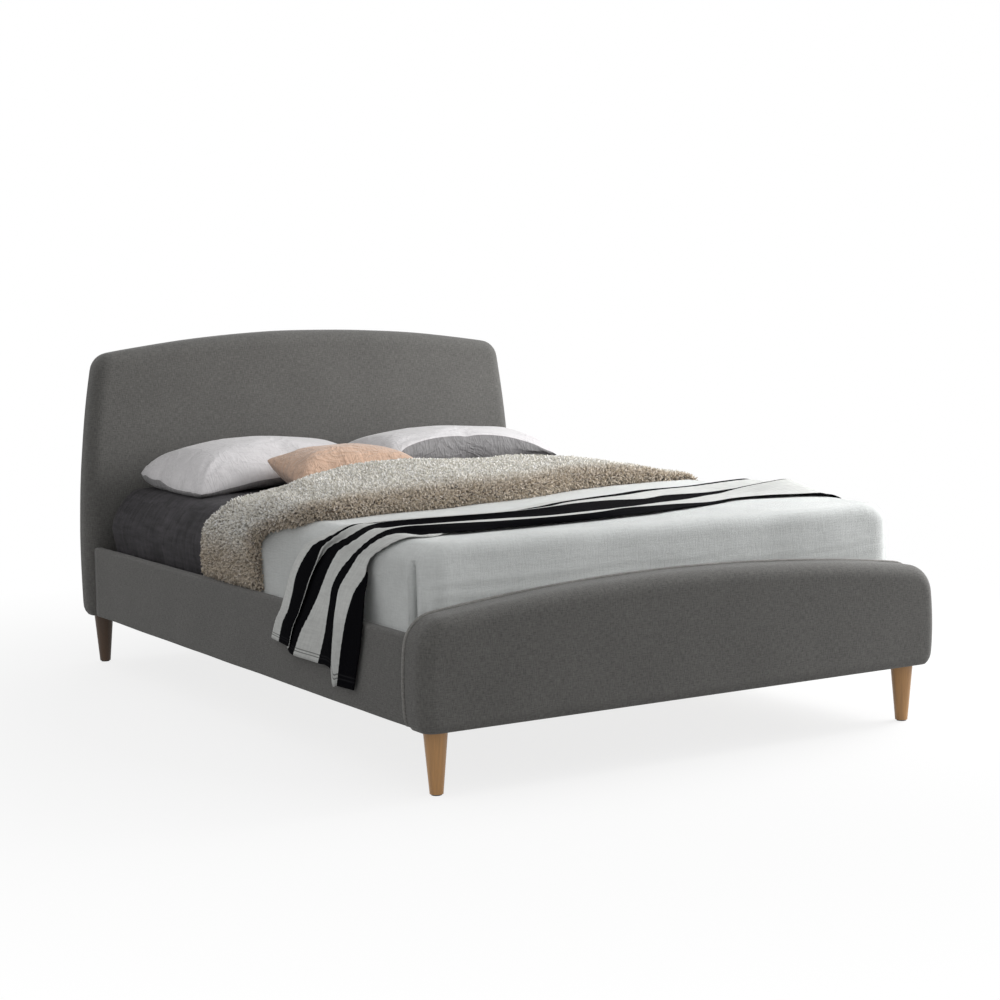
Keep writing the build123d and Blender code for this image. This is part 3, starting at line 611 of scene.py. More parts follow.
def new_group(name, inputs, outputs):
    """An empty shader group with a Vector, numbers with their defaults and number outputs."""
    group = bpy.data.node_groups.new(name, "ShaderNodeTree")
    group.interface.new_socket("Vector", in_out="INPUT", socket_type="NodeSocketVector")
    for label, default in inputs.items():
        socket = group.interface.new_socket(label, in_out="INPUT", socket_type="NodeSocketFloat")
        socket.default_value = default
    for label in outputs:
        group.interface.new_socket(label, in_out="OUTPUT", socket_type="NodeSocketFloat")
    return group, group.nodes.new("NodeGroupInput").outputs, group.nodes.new("NodeGroupOutput")


def place_group(tree, build, inputs):
    """The outputs of a shared group, which build makes under its own name when it is first needed."""
    group = bpy.data.node_groups.get(build.__name__) or build(build.__name__)
    return add(tree, "ShaderNodeGroup", inputs, node_tree=group).outputs


def woven_threads(name):
    """Crossing threads: a height, flecks of single yarns and slow clouds of tone."""
    group, start, end = new_group(name, {"Threads": 700.0, "Fleck Scale": 90.0}, ("Height", "Fleck", "Cloud"))
    vector, scale = start["Vector"], start["Fleck Scale"]
    parts = add(group, "ShaderNodeSeparateXYZ", {0: vector}).outputs
    turns = math_node(group, "MULTIPLY", start["Threads"], 2 * math.pi)
    waves = [math_node(group, "SINE", math_node(group, "MULTIPLY", parts[k], turns)) for k in (0, 1)]
    cross = math_node(group, "MULTIPLY", *waves)
    warp = stretched_noise(group, vector, (1.0, 0.16, 1.0), scale)
    weft = stretched_noise(group, vector, (0.16, 1.0, 1.0), scale)
    fleck = spread(group, blend(group, warp, weft, 0.5), 0.38, 0.62)
    height = math_node(group, "ADD", math_node(group, "MULTIPLY", cross, 0.25), fleck)
    cloud = stretched_noise(group, vector, EVEN, 7.0, 4.0, 0.55)
    set_inputs(group, end, {"Height": height, "Fleck": fleck, "Cloud": cloud})
    return group


def soft_creases(name):
    """Soft creases of thin cloth, as a height."""
    group, start, end = new_group(name, {"Scale": 9.0}, ("Height",))
    vector, scale = start["Vector"], start["Scale"]
    finer = math_node(group, "MULTIPLY", scale, 2.3)
    wide = stretched_noise(group, vector, (1.0, 2.2, 1.0), scale, 2.0, 0.5, 0.8)
    fine = stretched_noise(group, vector, (2.6, 1.0, 1.0), finer, 2.0, 0.5, 0.6)
    ridge = spread(group, away_from(group, wide, 0.5), 0.0, 0.10, 1.0, 0.0)
    fold = spread(group, away_from(group, fine, 0.5), 0.0, 0.08, 0.5, 0.0)
    set_inputs(group, end, {"Height": math_node(group, "ADD", ridge, fold)})
    return group


def timber_grain(name):
    """Timber grain along Z of the vector: a share from early to late wood and a height."""
    group, start, end = new_group(name, {"Scale": 30.0}, ("Grain", "Height"))
    vector, scale = start["Vector"], start["Scale"]
    rings = stretched_noise(group, vector, (1.0, 1.0, 0.08), scale, 4.0, 0.6, 1.2)
    pores = stretched_noise(group, vector, (1.0, 1.0, 0.03), math_node(group, "MULTIPLY", scale, 9.0))
    grain = spread(group, blend(group, rings, pores, 0.75), 0.36, 0.64)
    set_inputs(group, end, {"Grain": grain, "Height": pores})
    return group


def new_material(name):
    """A material with its node tree and its surface shader."""
    material = bpy.data.materials.new(name)
    material.use_nodes = True
    return material, material.node_tree, material.node_tree.nodes["Principled BSDF"]


def shade(colour, factor):
    """A colour made darker or lighter."""
    return (*(min(max(c * factor, 0.0), 1.0) for c in colour), 1.0)


def cloth_material(name, colour, threads, flecks, contrast, depth, roughness, sheen=0.25, cloud=0.12,
                   crease=None, gloss=0.25, own_map=True):
    """A woven cloth in the piece's own UV map, or in object coordinates; crease is a scale and a depth."""
    material, tree, surface = new_material(name)
    vector = cloth_map(tree) if own_map else object_place(tree)
    weave = place_group(tree, woven_threads, {"Vector": vector, "Threads": threads, "Fleck Scale": flecks})
    tone = mix_colour(tree, weave["Fleck"], shade(colour, 1 - contrast), shade(colour, 1 + contrast))
    clouds = spread(tree, weave["Cloud"], 0.3, 0.7, 1 - cloud, 1 + cloud)
    grey = add(tree, "ShaderNodeCombineColor", {0: clouds, 1: clouds, 2: clouds}).outputs[0]
    normal = bumped(tree, weave["Height"], depth, 0.6)
    if crease:
        folds = place_group(tree, soft_creases, {"Vector": vector, "Scale": crease[0]})
        normal = bumped(tree, folds["Height"], crease[1], 0.7, Normal=normal)
    set_inputs(tree, surface, {
        "Base Color": mix_colour(tree, 1.0, tone, grey, "MULTIPLY"), "Normal": normal, "Roughness": roughness,
        "Sheen Weight": sheen, "Sheen Roughness": 0.5, "Specular IOR Level": gloss,
    })
    return material


def timber_material(name, colour, scale, contrast, roughness, along_axis="Z", coat=0.0):
    """Timber whose grain runs along an axis of the object."""
    material, tree, surface = new_material(name)
    turn = {"Z": (0, 0, 0), "X": (0, math.pi / 2, 0), "Y": (math.pi / 2, 0, 0)}[along_axis]
    place = add(tree, "ShaderNodeMapping", {"Vector": object_place(tree), "Rotation": turn}).outputs[0]
    grain = place_group(tree, timber_grain, {"Vector": place, "Scale": scale})
    early, late = shade(colour, 1 - contrast), shade(colour, 1 + contrast)
    set_inputs(tree, surface, {
        "Base Color": mix_colour(tree, grain["Grain"], early, late),
        "Normal": bumped(tree, grain["Height"], 0.0004, 0.5),
        "Roughness": spread(tree, grain["Height"], 0.2, 0.8, roughness - 0.06, roughness + 0.08),
        "Coat Weight": coat, "Coat Roughness": 0.25,
    })
    return material


def metal_material(name, colour, roughness, metallic=1.0):
    """Plated steel or moulded plastic with fine unevenness."""
    material, tree, surface = new_material(name)
    place = object_place(tree)
    streak = stretched_noise(tree, place, (1.0, 1.0, 0.25), 160.0, 4.0)
    patch = stretched_noise(tree, place, EVEN, 22.0)
    set_inputs(tree, surface, {
        "Base Color": mix_colour(tree, patch, shade(colour, 0.86), shade(colour, 1.12)),
        "Normal": bumped(tree, streak, 0.0002, 0.4),
        "Roughness": spread(tree, streak, 0.3, 0.7, roughness - 0.08, roughness + 0.1),
        "Metallic": metallic,
    })
    return material


def striped_material():
    """Flat weave with dark stripes along the throw, placed by the UV map's first axis, and sewn hems."""
    material, tree, surface = new_material("Striped flat weave")
    vector = cloth_map(tree)
    parts = add(tree, "ShaderNodeSeparateXYZ", {0: vector}).outputs
    total = sum(STRIPE_WIDTHS)
    ramp = add(tree, "ShaderNodeValToRGB", {0: math_node(tree, "DIVIDE", parts[0], total)})
    ramp.color_ramp.interpolation = "CONSTANT"
    stops = ramp.color_ramp.elements
    stops[0].position, stops[0].color = 0.0, CREAM
    edge = 0.0
    for k, width in enumerate(STRIPE_WIDTHS[:-1]):
        edge += width / total
        stop = stops.new(edge) if k else stops[1]
        stop.position, stop.color = edge, CREAM if k % 2 else INK
    weave = place_group(tree, woven_threads, {"Vector": vector, "Threads": 620.0, "Fleck Scale": 150.0})
    low = mix_colour(tree, 1.0, ramp.outputs[0], (0.84, 0.84, 0.84, 1.0), "MULTIPLY")
    tone = mix_colour(tree, weave["Fleck"], low, ramp.outputs[0])
    for row in (0.014, 0.020):
        thread = spread(tree, away_from(tree, parts[1], row), 0.0008, 0.0016, 0.65, 0.0)
        tone = mix_colour(tree, thread, tone, (0.02, 0.02, 0.022, 1.0))
    set_inputs(tree, surface, {
        "Base Color": tone, "Normal": bumped(tree, weave["Height"], 0.0006, 0.6), "Roughness": 0.95,
        "Specular IOR Level": 0.02,
    })
    return material


def pile_material(looks, name, with_tufts):
    """Deep speckled pile: yarn tones from the tufts' own attributes, with painted shade at the tufts' roots,
    on the ground cloth and where the deep attribute is set.
    """
    material, tree, surface = new_material(name)
    light, root = looks.pile_tip, looks.pile_root

    def attribute(label):
        return add(tree, "ShaderNodeAttribute", attribute_name=label).outputs["Fac"]

    def between_tones(share):
        return [a * share + b * (1 - share) for a, b in zip(light, root)]

    if with_tufts:
        tone, tip = attribute("yarn"), attribute("tip")
    else:
        tone = spread(tree, stretched_noise(tree, cloth_map(tree), EVEN, 160.0), 0.35, 0.65)
        tip = math_node(tree, "MULTIPLY", tone, 0.35)
    ramp = add(tree, "ShaderNodeValToRGB", {0: tone})
    stops = ramp.color_ramp.elements
    stops[0].position, stops[0].color = 0.0, shade(between_tones(0.80), 1.0)
    stops[1].position, stops[1].color = 1.0, shade(light, 1.12)
    stops.new(0.45).color = shade(between_tones(0.85), 0.98)
    # Painted shade: where the deep attribute is set, the yarn is darkened towards a brownish tone, for the
    # shade on the roll's front and low on the hanging side.
    shaded_yarn = mix_colour(tree, 1.0, ramp.outputs[0], PILE_SHADE_TONE, "MULTIPLY")
    yarn = mix_colour(tree, attribute("deep"), ramp.outputs[0], shaded_yarn)
    set_inputs(tree, surface, {
        # Painted shade: each blade darkens towards the root colour at its base, and the ground cloth between
        # the tufts takes mostly the root colour.
        "Base Color": mix_colour(tree, spread(tree, tip, 0.1, 0.8), shade(root, 1.0), yarn),
        "Roughness": 0.95, "Sheen Weight": 0.6, "Specular IOR Level": 0.1,
    })
    return material


def paint_nodes(material, *names):
    """Gives CAD nodes a finish."""
    for name in names:
        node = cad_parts[name]
        node.data.materials.clear()
        node.data.materials.append(material)


# Cloth


def blown_up(piece, pressure, frames, stiffness, bending):
    """Blows a sewn cloth up with Blender's cloth and keeps the result."""
    scene = bpy.context.scene
    cloth = piece.modifiers.new("Blow up", "CLOTH")
    settings = cloth.settings
    settings.quality = 6
    settings.mass = 0.2
    settings.tension_stiffness = stiffness
    settings.compression_stiffness = stiffness
    settings.shear_stiffness = stiffness / 3
    settings.bending_stiffness = bending
    settings.air_damping = 2.0
    settings.use_pressure = True
    settings.uniform_pressure_force = pressure
    settings.effector_weights.gravity = 0.0
    cloth.collision_settings.use_collision = False
    cloth.point_cache.frame_start = 1
    cloth.point_cache.frame_end = frames
    for step in range(1, frames + 1):
        scene.frame_set(step)
    mesh = evaluated_mesh(piece)
    piece.modifiers.clear()
    old, piece.data = piece.data, mesh
    mesh.name = old.name
    bpy.data.meshes.remove(old)
    scene.frame_set(1)


def sewn_case(length, width, cells, fullness):
    """Two layers of cloth sewn round their edge, a little blown up; the lower one has the second material."""
    columns, rows = cells

    def spread_out(s, t):
        return Vector(((s - 0.5) * length, (t - 0.5) * width, 0.0))

    bm = cloth_grid(columns, rows, spread_out, length, width)
    twin = bmesh.ops.duplicate(bm, geom=bm.faces[:])["geom"]
    lower = {item for item in twin if isinstance(item, bmesh.types.BMVert)}
    under = [item for item in twin if isinstance(item, bmesh.types.BMFace)]
    bmesh.ops.reverse_faces(bm, faces=under)
    for face in under:
        face.material_index = 1
    for vert in bm.verts:
        u, v = 2 * vert.co.x / length, 2 * vert.co.y / width
        dome = max(1 - u * u, 0.0) ** 0.5 * max(1 - v * v, 0.0) ** 0.5
        vert.co.z = fullness * dome * (-1 if vert in lower else 1)
    bmesh.ops.remove_doubles(bm, verts=bm.verts, dist=1e-5)
    return bm


def laid_down(piece, flat, low, high, front_seam, back_seam, core, lean=0.0, dip=0.0, ears=0.0, outer=0,
              droop=0.0):
    """Fits a blown-up case into a box and lays it on the box's floor.

    flat holds the points' places before it was blown up, which keep its outline full. front_seam and
    back_seam give the height of the seam along the two long sides, as points of (place from -1 to 1,
    share of the height). core is that share at the middle, and lean moves the front seam back as it
    rises. dip lowers the short ends and ears draws in the corners. outer is the side of the puckered
    end, or 0, and droop lowers the underside there.
    """
    mesh = piece.data
    places = [vert.co.copy() for vert in mesh.vertices]
    least = [min(p[k] for p in places) for k in range(3)]
    most = [max(p[k] for p in places) for k in range(3)]
    height = high.z - low.z
    span = [max(p[k] for p in flat) for k in range(2)]
    for vert, place, start in zip(mesh.vertices, places, flat):
        u = (2 * place.x - least[0] - most[0]) / (most[0] - least[0])
        v = (2 * place.y - least[1] - most[1]) / (most[1] - least[1])
        u += 0.7 * (start.x / span[0] - u)
        v += 0.85 * (start.y / span[1] - v)
        seam = along(front_seam, u) + (along(back_seam, u) - along(front_seam, u)) * (v + 1) / 2
        edge = max(abs(u), abs(v)) ** 4
        seam -= dip * (1 - v * v) * u ** 6
        u *= 1 - ears * v ** 4 * abs(u) ** 3
        level = core + (seam - core) * edge
        belly = 0.0
        if place.z >= 0:
            z = height * (level + (1 - core) * (place.z / most[2]) ** 0.75)
        else:
            belly = (place.z / least[2]) ** (0.5 if droop else 1.0)
            z = height * (level - 1.35 * core * belly)
        if z < 0.05:
            z = FLOOR_GAP + SETTLE * math.log(1 + math.exp((z - FLOOR_GAP) / SETTLE))
        z -= droop * belly * ease(0.40, 0.9, outer * u) * ease(1.0, 0.45, v)
        for side in (-1, 1) if outer else ():
            across, along_end = 1 - outer * u, 1 - side * v
            ray = math.atan2(along_end, across)
            near = bump(math.hypot(across, along_end), 0.26, 0.16)
            z += PUCKER * math.sin(18 * ray + side) * near * ease(0.0, 0.02, z)
        y = low.y + (v + 1) / 2 * (high.y - low.y) + lean * z * max(-v, 0.0) ** 2
        vert.co = (low.x + (u + 1) / 2 * (high.x - low.x), y, low.z + z)


def filled_case(name, materials, size, cells, fullness, blow, box, form):
    """A sewn case of a flat size with two materials, blown up, laid down in its box and made finer."""
    piece = make_piece(name, sewn_case(*size, cells, fullness), materials[0])
    piece.data.materials.append(materials[1])
    flat = [vert.co.copy() for vert in piece.data.vertices]
    blown_up(piece, *blow)
    laid_down(piece, flat, *box, **form)
    finer = piece.modifiers.new("Finer", "SUBSURF")
    finer.levels = 1
    finer.render_levels = 1
    return piece


def thickened(piece, thickness, offset=0.0):
    """The piece with a thickness for its cloth."""
    wall = piece.modifiers.new("Thickness", "SOLIDIFY")
    wall.thickness = thickness
    wall.offset = offset
    return piece


# Pieces


def edges_along(bm, axis):
    """Edges that run more than 100 mm along an axis."""
    return [e for e in bm.edges if abs(e.verts[0].co[axis] - e.verts[1].co[axis]) > 0.1]


class BED_OT_boards(bpy.types.Operator):
    """Upholster the headboard and the footboard"""

    bl_idname = "bed.boards"
    bl_label = "Boards"

    def execute(self, context):
        looks, cell = context.scene.bed_looks, context.scene.bed_sizes.cell
        cloth = cloth_material("Grey woven upholstery", looks.upholstery, threads=520.0, flecks=420.0,
                               contrast=0.26, depth=0.0005, roughness=0.92, sheen=0.2, cloud=0.05)
        # Painted highlight: the piping is the upholstery's own cloth made 1.9 times lighter, for the light
        # its round cord catches.
        cord = cloth_material("Upholstery piping", [1.9 * c for c in looks.upholstery], threads=300.0,
                              flecks=300.0, contrast=0.2, depth=0.0003, roughness=0.9, own_map=False)
        boards = (
            ("headboard", HEADBOARD, HEADBOARD_EDGE, HEAD_LOW.y, HEAD_HIGH.y, HEADBOARD_EDGE),
            ("footboard", FOOTBOARD, FOOTBOARD_EDGE, FOOT_LOW.y, FOOT_HIGH.y, FOOTBOARD_BACK_EDGE),
        )
        bottom = UNDERSIDE - BOARD_UNDERCUT

        def soft(place):
            inside = 0.0016 * rough(place.x * 5, place.z * 5, place.y * 5, 3.0)
            return (inside - 0.001) * ease(UNDERSIDE + 0.002, UNDERSIDE + 0.03, place.z)

        for name, form, edge, front, back, back_edge in boards:
            sides = board_sides(**form, bottom=bottom)
            columns = round(2 * form["half"] / cell)
            rows = round((form["top"] - bottom) / cell)
            profile = rolled(edge, 8, front)
            profile += [(inset, back - depth) for inset, depth in reversed(rolled(back_edge, 6, 0.0))]
            bm, ring = padded_form(sides, columns, rows, profile, lambda a, b, d: Vector((a, d, b)))
            close_ring(bm, ring)
            bmesh.ops.edgeloop_fill(bm, edges=cut_off(bm, (0, 0, UNDERSIDE), (0, 0, 1)))
            bmesh.ops.remove_doubles(bm, verts=bm.verts, dist=1e-5)
            face_outwards(bm)
            swell(bm, soft)
            if name == "headboard":
                for vert in bm.verts:
                    vert.co.y = min(vert.co.y, back - BACK_RECESS)
            box_cloth_map(bm)
            piece = make_piece(name + "_upholstery", bm, cloth)
            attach(piece, "frame")
            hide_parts(name + "_cover", name + "_padding")
            right, top, left = (resampled(side, n) for side, n in zip(sides[1:], (rows, columns, rows)))
            inner, behind, radius = PIPING[name]
            line = [inset_by(p, inner) for p in right + top[-2::-1] + left[-2::-1]]
            line = [(x, back - behind, z) for x, z in line if z > UNDERSIDE + 0.004]
            seam = welt(name + "_back_piping", line, radius, cord)
            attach(seam, "frame")
        return {"FINISHED"}


class BED_OT_rails(bpy.types.Operator):
    """Upholster the side rails"""

    bl_idname = "bed.rails"
    bl_label = "Side rails"

    def execute(self, context):
        cloth = bpy.data.materials["Grey woven upholstery"]
        for name in ("left", "right"):
            low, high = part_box(name + "_side_rail_cover")
            bm = bmesh.new()
            bmesh.ops.create_cube(bm, size=1.0)
            bmesh.ops.scale(bm, verts=bm.verts, vec=high - low)
            bmesh.ops.translate(bm, verts=bm.verts, vec=(low + high) / 2)
            bmesh.ops.bevel(bm, geom=edges_along(bm, 1), offset=RAIL_ROUNDING, segments=5, profile=0.5,
                            affect="EDGES", material=-1)
            bmesh.ops.subdivide_edges(bm, edges=edges_along(bm, 1), cuts=90, use_grid_fill=True)
            bmesh.ops.subdivide_edges(bm, edges=edges_along(bm, 2), cuts=11, use_grid_fill=True)
            swell(bm, lambda p: 0.0012 * rough(p.x * 4, p.y * 5, p.z * 7, 8.0) - 0.0006)
            box_cloth_map(bm)
            piece = make_piece(name + "_rail_upholstery", bm, cloth)
            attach(piece, "frame")
            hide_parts(name + "_side_rail_cover")
        return {"FINISHED"}


class BED_OT_timber(bpy.types.Operator):
    """Finish the legs, slats, rails and fittings"""

    bl_idname = "bed.timber"
    bl_label = "Timber and fittings"

    def execute(self, context):
        oak = context.scene.bed_looks.leg_timber
        legs = timber_material("Turned oak", oak, 24.0, 0.22, 0.42, coat=0.2)
        paint_nodes(legs, "front_left_leg", "front_right_leg")
        # Painted shade: the rear legs take the same oak darkened to about a tenth, for the shade they stand
        # in under the headboard.
        dark = [share * c for share, c in zip((0.10, 0.085, 0.07), oak)]
        rear = timber_material("Dark turned oak", dark, 24.0, 0.22, 0.5)
        paint_nodes(rear, "rear_left_leg", "rear_right_leg")
        pine = timber_material("Planed pine", (0.60, 0.42, 0.24), 18.0, 0.16, 0.6, "X")
        paint_nodes(pine, *(f"slat_{k:02d}" for k in range(1, 15)))
        lengthwise = timber_material("Sawn softwood", (0.52, 0.37, 0.22), 16.0, 0.2, 0.7, "Y")
        paint_nodes(lengthwise, "left_side_rail", "right_side_rail", "left_slat_ledge", "right_slat_ledge",
                    "centre_rail")
        board = timber_material("Frame board", (0.46, 0.32, 0.19), 14.0, 0.15, 0.75, "X")
        paint_nodes(board, "headboard_panel", "footboard_panel")
        steel = metal_material("Zinc plated steel", (0.56, 0.56, 0.57), 0.38)
        paint_nodes(steel, "rail_brackets", "rail_bracket_bolts", "leg_plates", "leg_hanger_bolts",
                    "centre_rail_saddles")
        nylon = metal_material("Black nylon", (0.022, 0.022, 0.024), 0.5, metallic=0.0)
        paint_nodes(nylon, "leg_glides", "foot_screw_foot", "head_screw_foot")
        beech = timber_material("Turned beech", (0.50, 0.34, 0.20), 22.0, 0.15, 0.55)
        paint_nodes(beech, "foot_centre_leg", "head_centre_leg")
        return {"FINISHED"}


class BED_OT_under_cloths(bpy.types.Operator):
    """Make the headboard's back cloth and the slats' webbing"""

    bl_idname = "bed.under_cloths"
    bl_label = "Back cloth and webbing"

    def execute(self, context):
        low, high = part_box("headboard_back_cloth")
        back = cloth_material("Black back cloth", (0.016, 0.016, 0.018), threads=900.0, flecks=220.0,
                              contrast=0.25, depth=0.0002, roughness=0.9, sheen=0.1)
        inset = HEADBOARD["half"] - high.x
        sides = board_sides(**HEADBOARD, bottom=UNDERSIDE - BOARD_UNDERCUT)
        columns, rows = 90, 50
        counts = (columns, rows, columns, rows)
        rim = [[inset_by(p, inset) for p in resampled(side, n)] for side, n in zip(sides, counts)]

        def stretched(s, t):
            x, z = between(rim, round(s * columns), round(t * rows), s, t)
            slack = 0.0012 * rough(x * 9, z * 9, 0.0, 5.0) * min(s, 1 - s, t, 1 - t) * 10
            return Vector((x, high.y - 0.0008 + min(slack, 0.001), max(z, low.z)))

        bm = cloth_grid(columns, rows, stretched, high.x - low.x, high.z - low.z)
        face_outwards(bm)
        if sum(face.normal.y for face in bm.faces) < 0:
            bmesh.ops.reverse_faces(bm, faces=bm.faces)
        piece = make_piece("headboard_dust_cloth", bm, back)
        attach(piece, "frame")
        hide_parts("headboard_back_cloth")

        tape = cloth_material("Black webbing", (0.022, 0.022, 0.024), threads=600.0, flecks=300.0,
                              contrast=0.4, depth=0.0006, roughness=0.8, sheen=0.1)
        slats = [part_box(f"slat_{k:02d}") for k in range(1, 15)]
        for name in ("left", "right"):
            low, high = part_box(name + "_slat_webbing")

            def lain(s, t, low=low, high=high):
                y = low.y + (high.y - low.y) * t
                gap = min(abs(y - (a.y + b.y) / 2) for a, b in slats)
                sag = 0.004 * ease(0.034, 0.060, gap)
                return Vector((low.x + (high.x - low.x) * s, y, low.z + 0.0008 - sag))

            bm = cloth_grid(4, 240, lain, high.x - low.x, high.y - low.y)
            piece = thickened(make_piece(name + "_webbing", bm, tape), WEBBING_THICKNESS)
            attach(piece, "frame")
            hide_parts(name + "_slat_webbing")
        return {"FINISHED"}


def give_way(bm):
    """Lets the mattress sag along its top edge towards the head and bulge at its sides there."""
    for vert in bm.verts:
        place = vert.co
        headward = ease(-0.2, 0.55, place.y)
        side = min(SHEET_HIGH.x - abs(place.x), SHEET_HIGH.y - place.y)
        sag = 0.046 * math.exp(-max(side, 0.0) / 0.055) * ease(0.38, 0.53, place.z)
        swollen = 0.016 * bump(place.z, 0.42, 0.075) * ease(0.60, 0.67, abs(place.x))
        place.z -= sag * headward
        place.x += math.copysign(swollen * headward, place.x)


def soft_block(grow, bottom, top, edge, low_edge, cell, under):
    """A mattress-shaped shell: flat top, rolled edges, sides and a return underneath."""
    half = MATTRESS_HIGH.x + grow
    corner = max(MATTRESS_CORNER, edge + 0.010) + grow
    sides = block_sides(half, MATTRESS_LOW.y - grow, MATTRESS_HIGH.y + grow, corner)
    profile = rolled(edge, 8, -top)
    count = max(2, round((top - bottom - edge - low_edge) / cell))
    low = bottom + low_edge
    profile += [(0.0, -(top - edge + (low - top + edge) * k / count)) for k in range(1, count + 1)]
    for k in range(1, 7):
        turn = math.pi / 2 * k / 6
        profile.append((low_edge * (1 - math.cos(turn)), -(low - low_edge * math.sin(turn))))
    profile.append((min(under, corner - 0.004), -bottom))
    columns, rows = round(2 * half / cell), round((MATTRESS_HIGH.y - MATTRESS_LOW.y) / cell)
    return padded_form(sides, columns, rows, profile, lambda a, b, d: Vector((a, b, -d)))


class BED_OT_mattress(bpy.types.Operator):
    """Make the mattress and its charcoal fitted sheet"""

    bl_idname = "bed.mattress"
    bl_label = "Mattress and sheet"

    def execute(self, context):
        looks, cell = context.scene.bed_looks, context.scene.bed_sizes.cell
        ticking = cloth_material("Mattress ticking", (0.72, 0.71, 0.67), threads=800.0, flecks=120.0,
                                 contrast=0.08, depth=0.0004, roughness=0.9)
        bm, ring = soft_block(-MATTRESS_INSET, MATTRESS_LOW.z, MATTRESS_HIGH.z - MATTRESS_INSET, SHEET_EDGE,
                              LOWER_EDGE, cell, UNDER_RETURN)
        close_ring(bm, ring)
        face_outwards(bm)
        give_way(bm)
        box_cloth_map(bm)
        piece = make_piece("mattress_body", bm, ticking)
        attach(piece, "bedding")
        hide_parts("mattress")

        cotton = cloth_material("Charcoal cotton", looks.sheet, threads=600.0, flecks=60.0, contrast=0.55,
                                depth=0.0008, roughness=0.9, sheen=0.06, cloud=0.25)
        bm, _ = soft_block(SHEET_GROW, SHEET_LOW.z, SHEET_HIGH.z, SHEET_EDGE, LOWER_EDGE, cell, SHEET_RETURN)
        face_outwards(bm)

        def drawn(place):
            ripple = 0.0022 * rough(place.x * 9, place.y * 6, place.z * 14, 2.0)
            ripple += 0.0014 * rough(place.x * 22, place.y * 14, place.z * 30, 6.0)
            pucker = 0.002 * math.sin(place.y * 95 + 2 * rough(place.x * 5, place.y * 9, place.z * 5))
            pucker *= ease(0.40, 0.32, place.z) * ease(0.2, 0.5, place.y)
            return (ripple + pucker) * ease(0.30, 0.33, place.z)

        swell(bm, drawn)
        give_way(bm)
        box_cloth_map(bm)
        piece = make_piece("charcoal_sheet", bm, cotton)
        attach(piece, "bedding")
        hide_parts("fitted_sheet")
        return {"FINISHED"}


def puffed_normals(piece):
    """Turns the normals of upright cloth upwards, so that a soft filled cover doesn't look boxed."""
    turned = []
    for vert in piece.data.vertices:
        normal = vert.normal.copy()
        upright = 1 - abs(normal.z)
        sideways = ease(0.35, 0.8, abs(normal.x))
        normal.z += upright * (0.10 + 0.95 * sideways)
        turned.append(normal.normalized())
    piece.data.normals_split_custom_set_from_vertices(turned)


class BED_OT_cover(bpy.types.Operator):
    """Make the pale bed cover over the foot half"""

    bl_idname = "bed.cover"
    bl_label = "Bed cover"

    def execute(self, context):
        cotton = cloth_material("Pale washed cotton", context.scene.bed_looks.cover, threads=640.0,
                                flecks=240.0, contrast=0.05, depth=0.0009, roughness=0.92, sheen=0.15,
                                cloud=0.05, crease=(4.0, 0.0004))
        edge = COVER_EDGE
        bottom = MATTRESS_LOW.z - COVER_GROW
        bm, _ = soft_block(COVER_GROW, bottom, COVER_HIGH.z, edge, edge, COVER_CELL, UNDER_RETURN)
        cut_off(bm, (0, COVER_HEAD_END, 0), (0, -1, 0))
        cut_off(bm, (0, 0, COVER_LOW.z), (0, 0, 1))
        face_outwards(bm)
        foot, half = COVER_LOW.y, COVER_HIGH.x
        corner = MATTRESS_CORNER + COVER_GROW

        def tucked(place):
            low = ease(0.34, 0.40, place.z)
            slow = 0.0035 * rough(place.x * 3.2, place.y * 4.2, place.z * 5, 4.0)
            slow += 0.0016 * rough(place.x * 9, place.y * 11, place.z * 16, 9.0)
            rise, reach = place.z - (COVER_HIGH.z - edge), (foot + edge) - place.y
            ridge = 0.0
            if rise > 0 and reach > 0:
                ridge = 0.010 * math.sin(2 * math.atan2(rise, reach)) ** 2 * ease(0.66, 0.58, abs(place.x))
            front = ease(-0.93, -0.955, place.y)
            stray = 3.5 * rough(place.x * 4, 1.0, place.z * 8, 1.0)
            wave = math.sin((place.z - 0.028 * place.x) * 230 + stray)
            ruck = 0.0010 * wave * front * bump(place.z, 0.445, 0.035)
            ruck *= 0.45 + 0.55 * ease(0.3, -0.3, place.x)
            pleat = 0.0
            for side in (-1, 1):
                a, b = side * place.x - (half - corner), (foot + corner) - place.y
                if a > -0.02 and b > -0.02:
                    turn = math.atan2(max(a, 0.0), max(b, 1e-6))
                    off = (turn - PLEAT_TURN) * corner
                    # Painted shade: the pleat sinks deeper than the cover's gap to the sheet, so the charcoal
                    # sheet shows through along it as a dark line in place of the fold's shade, most of all
                    # low down.
                    deep = -0.034 * bump(off, 0.0, 0.0052) + 0.006 * bump(off, -0.014, 0.009)
                    deep += 0.004 * bump(off, 0.015, 0.008)
                    deep -= 0.030 * bump(off, 0.0, 0.0042) * ease(0.46, 0.42, place.z)
                    pleat += deep * ease(0.515, 0.470, place.z)
            return (slow + ridge + ruck) * low + pleat

        swell(bm, tucked)
        box_cloth_map(bm)
        piece = make_piece("pale_bed_cover", bm, cotton)
        puffed_normals(piece)
        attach(piece, "bedding")
        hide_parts("bed_cover")
        return {"FINISHED"}


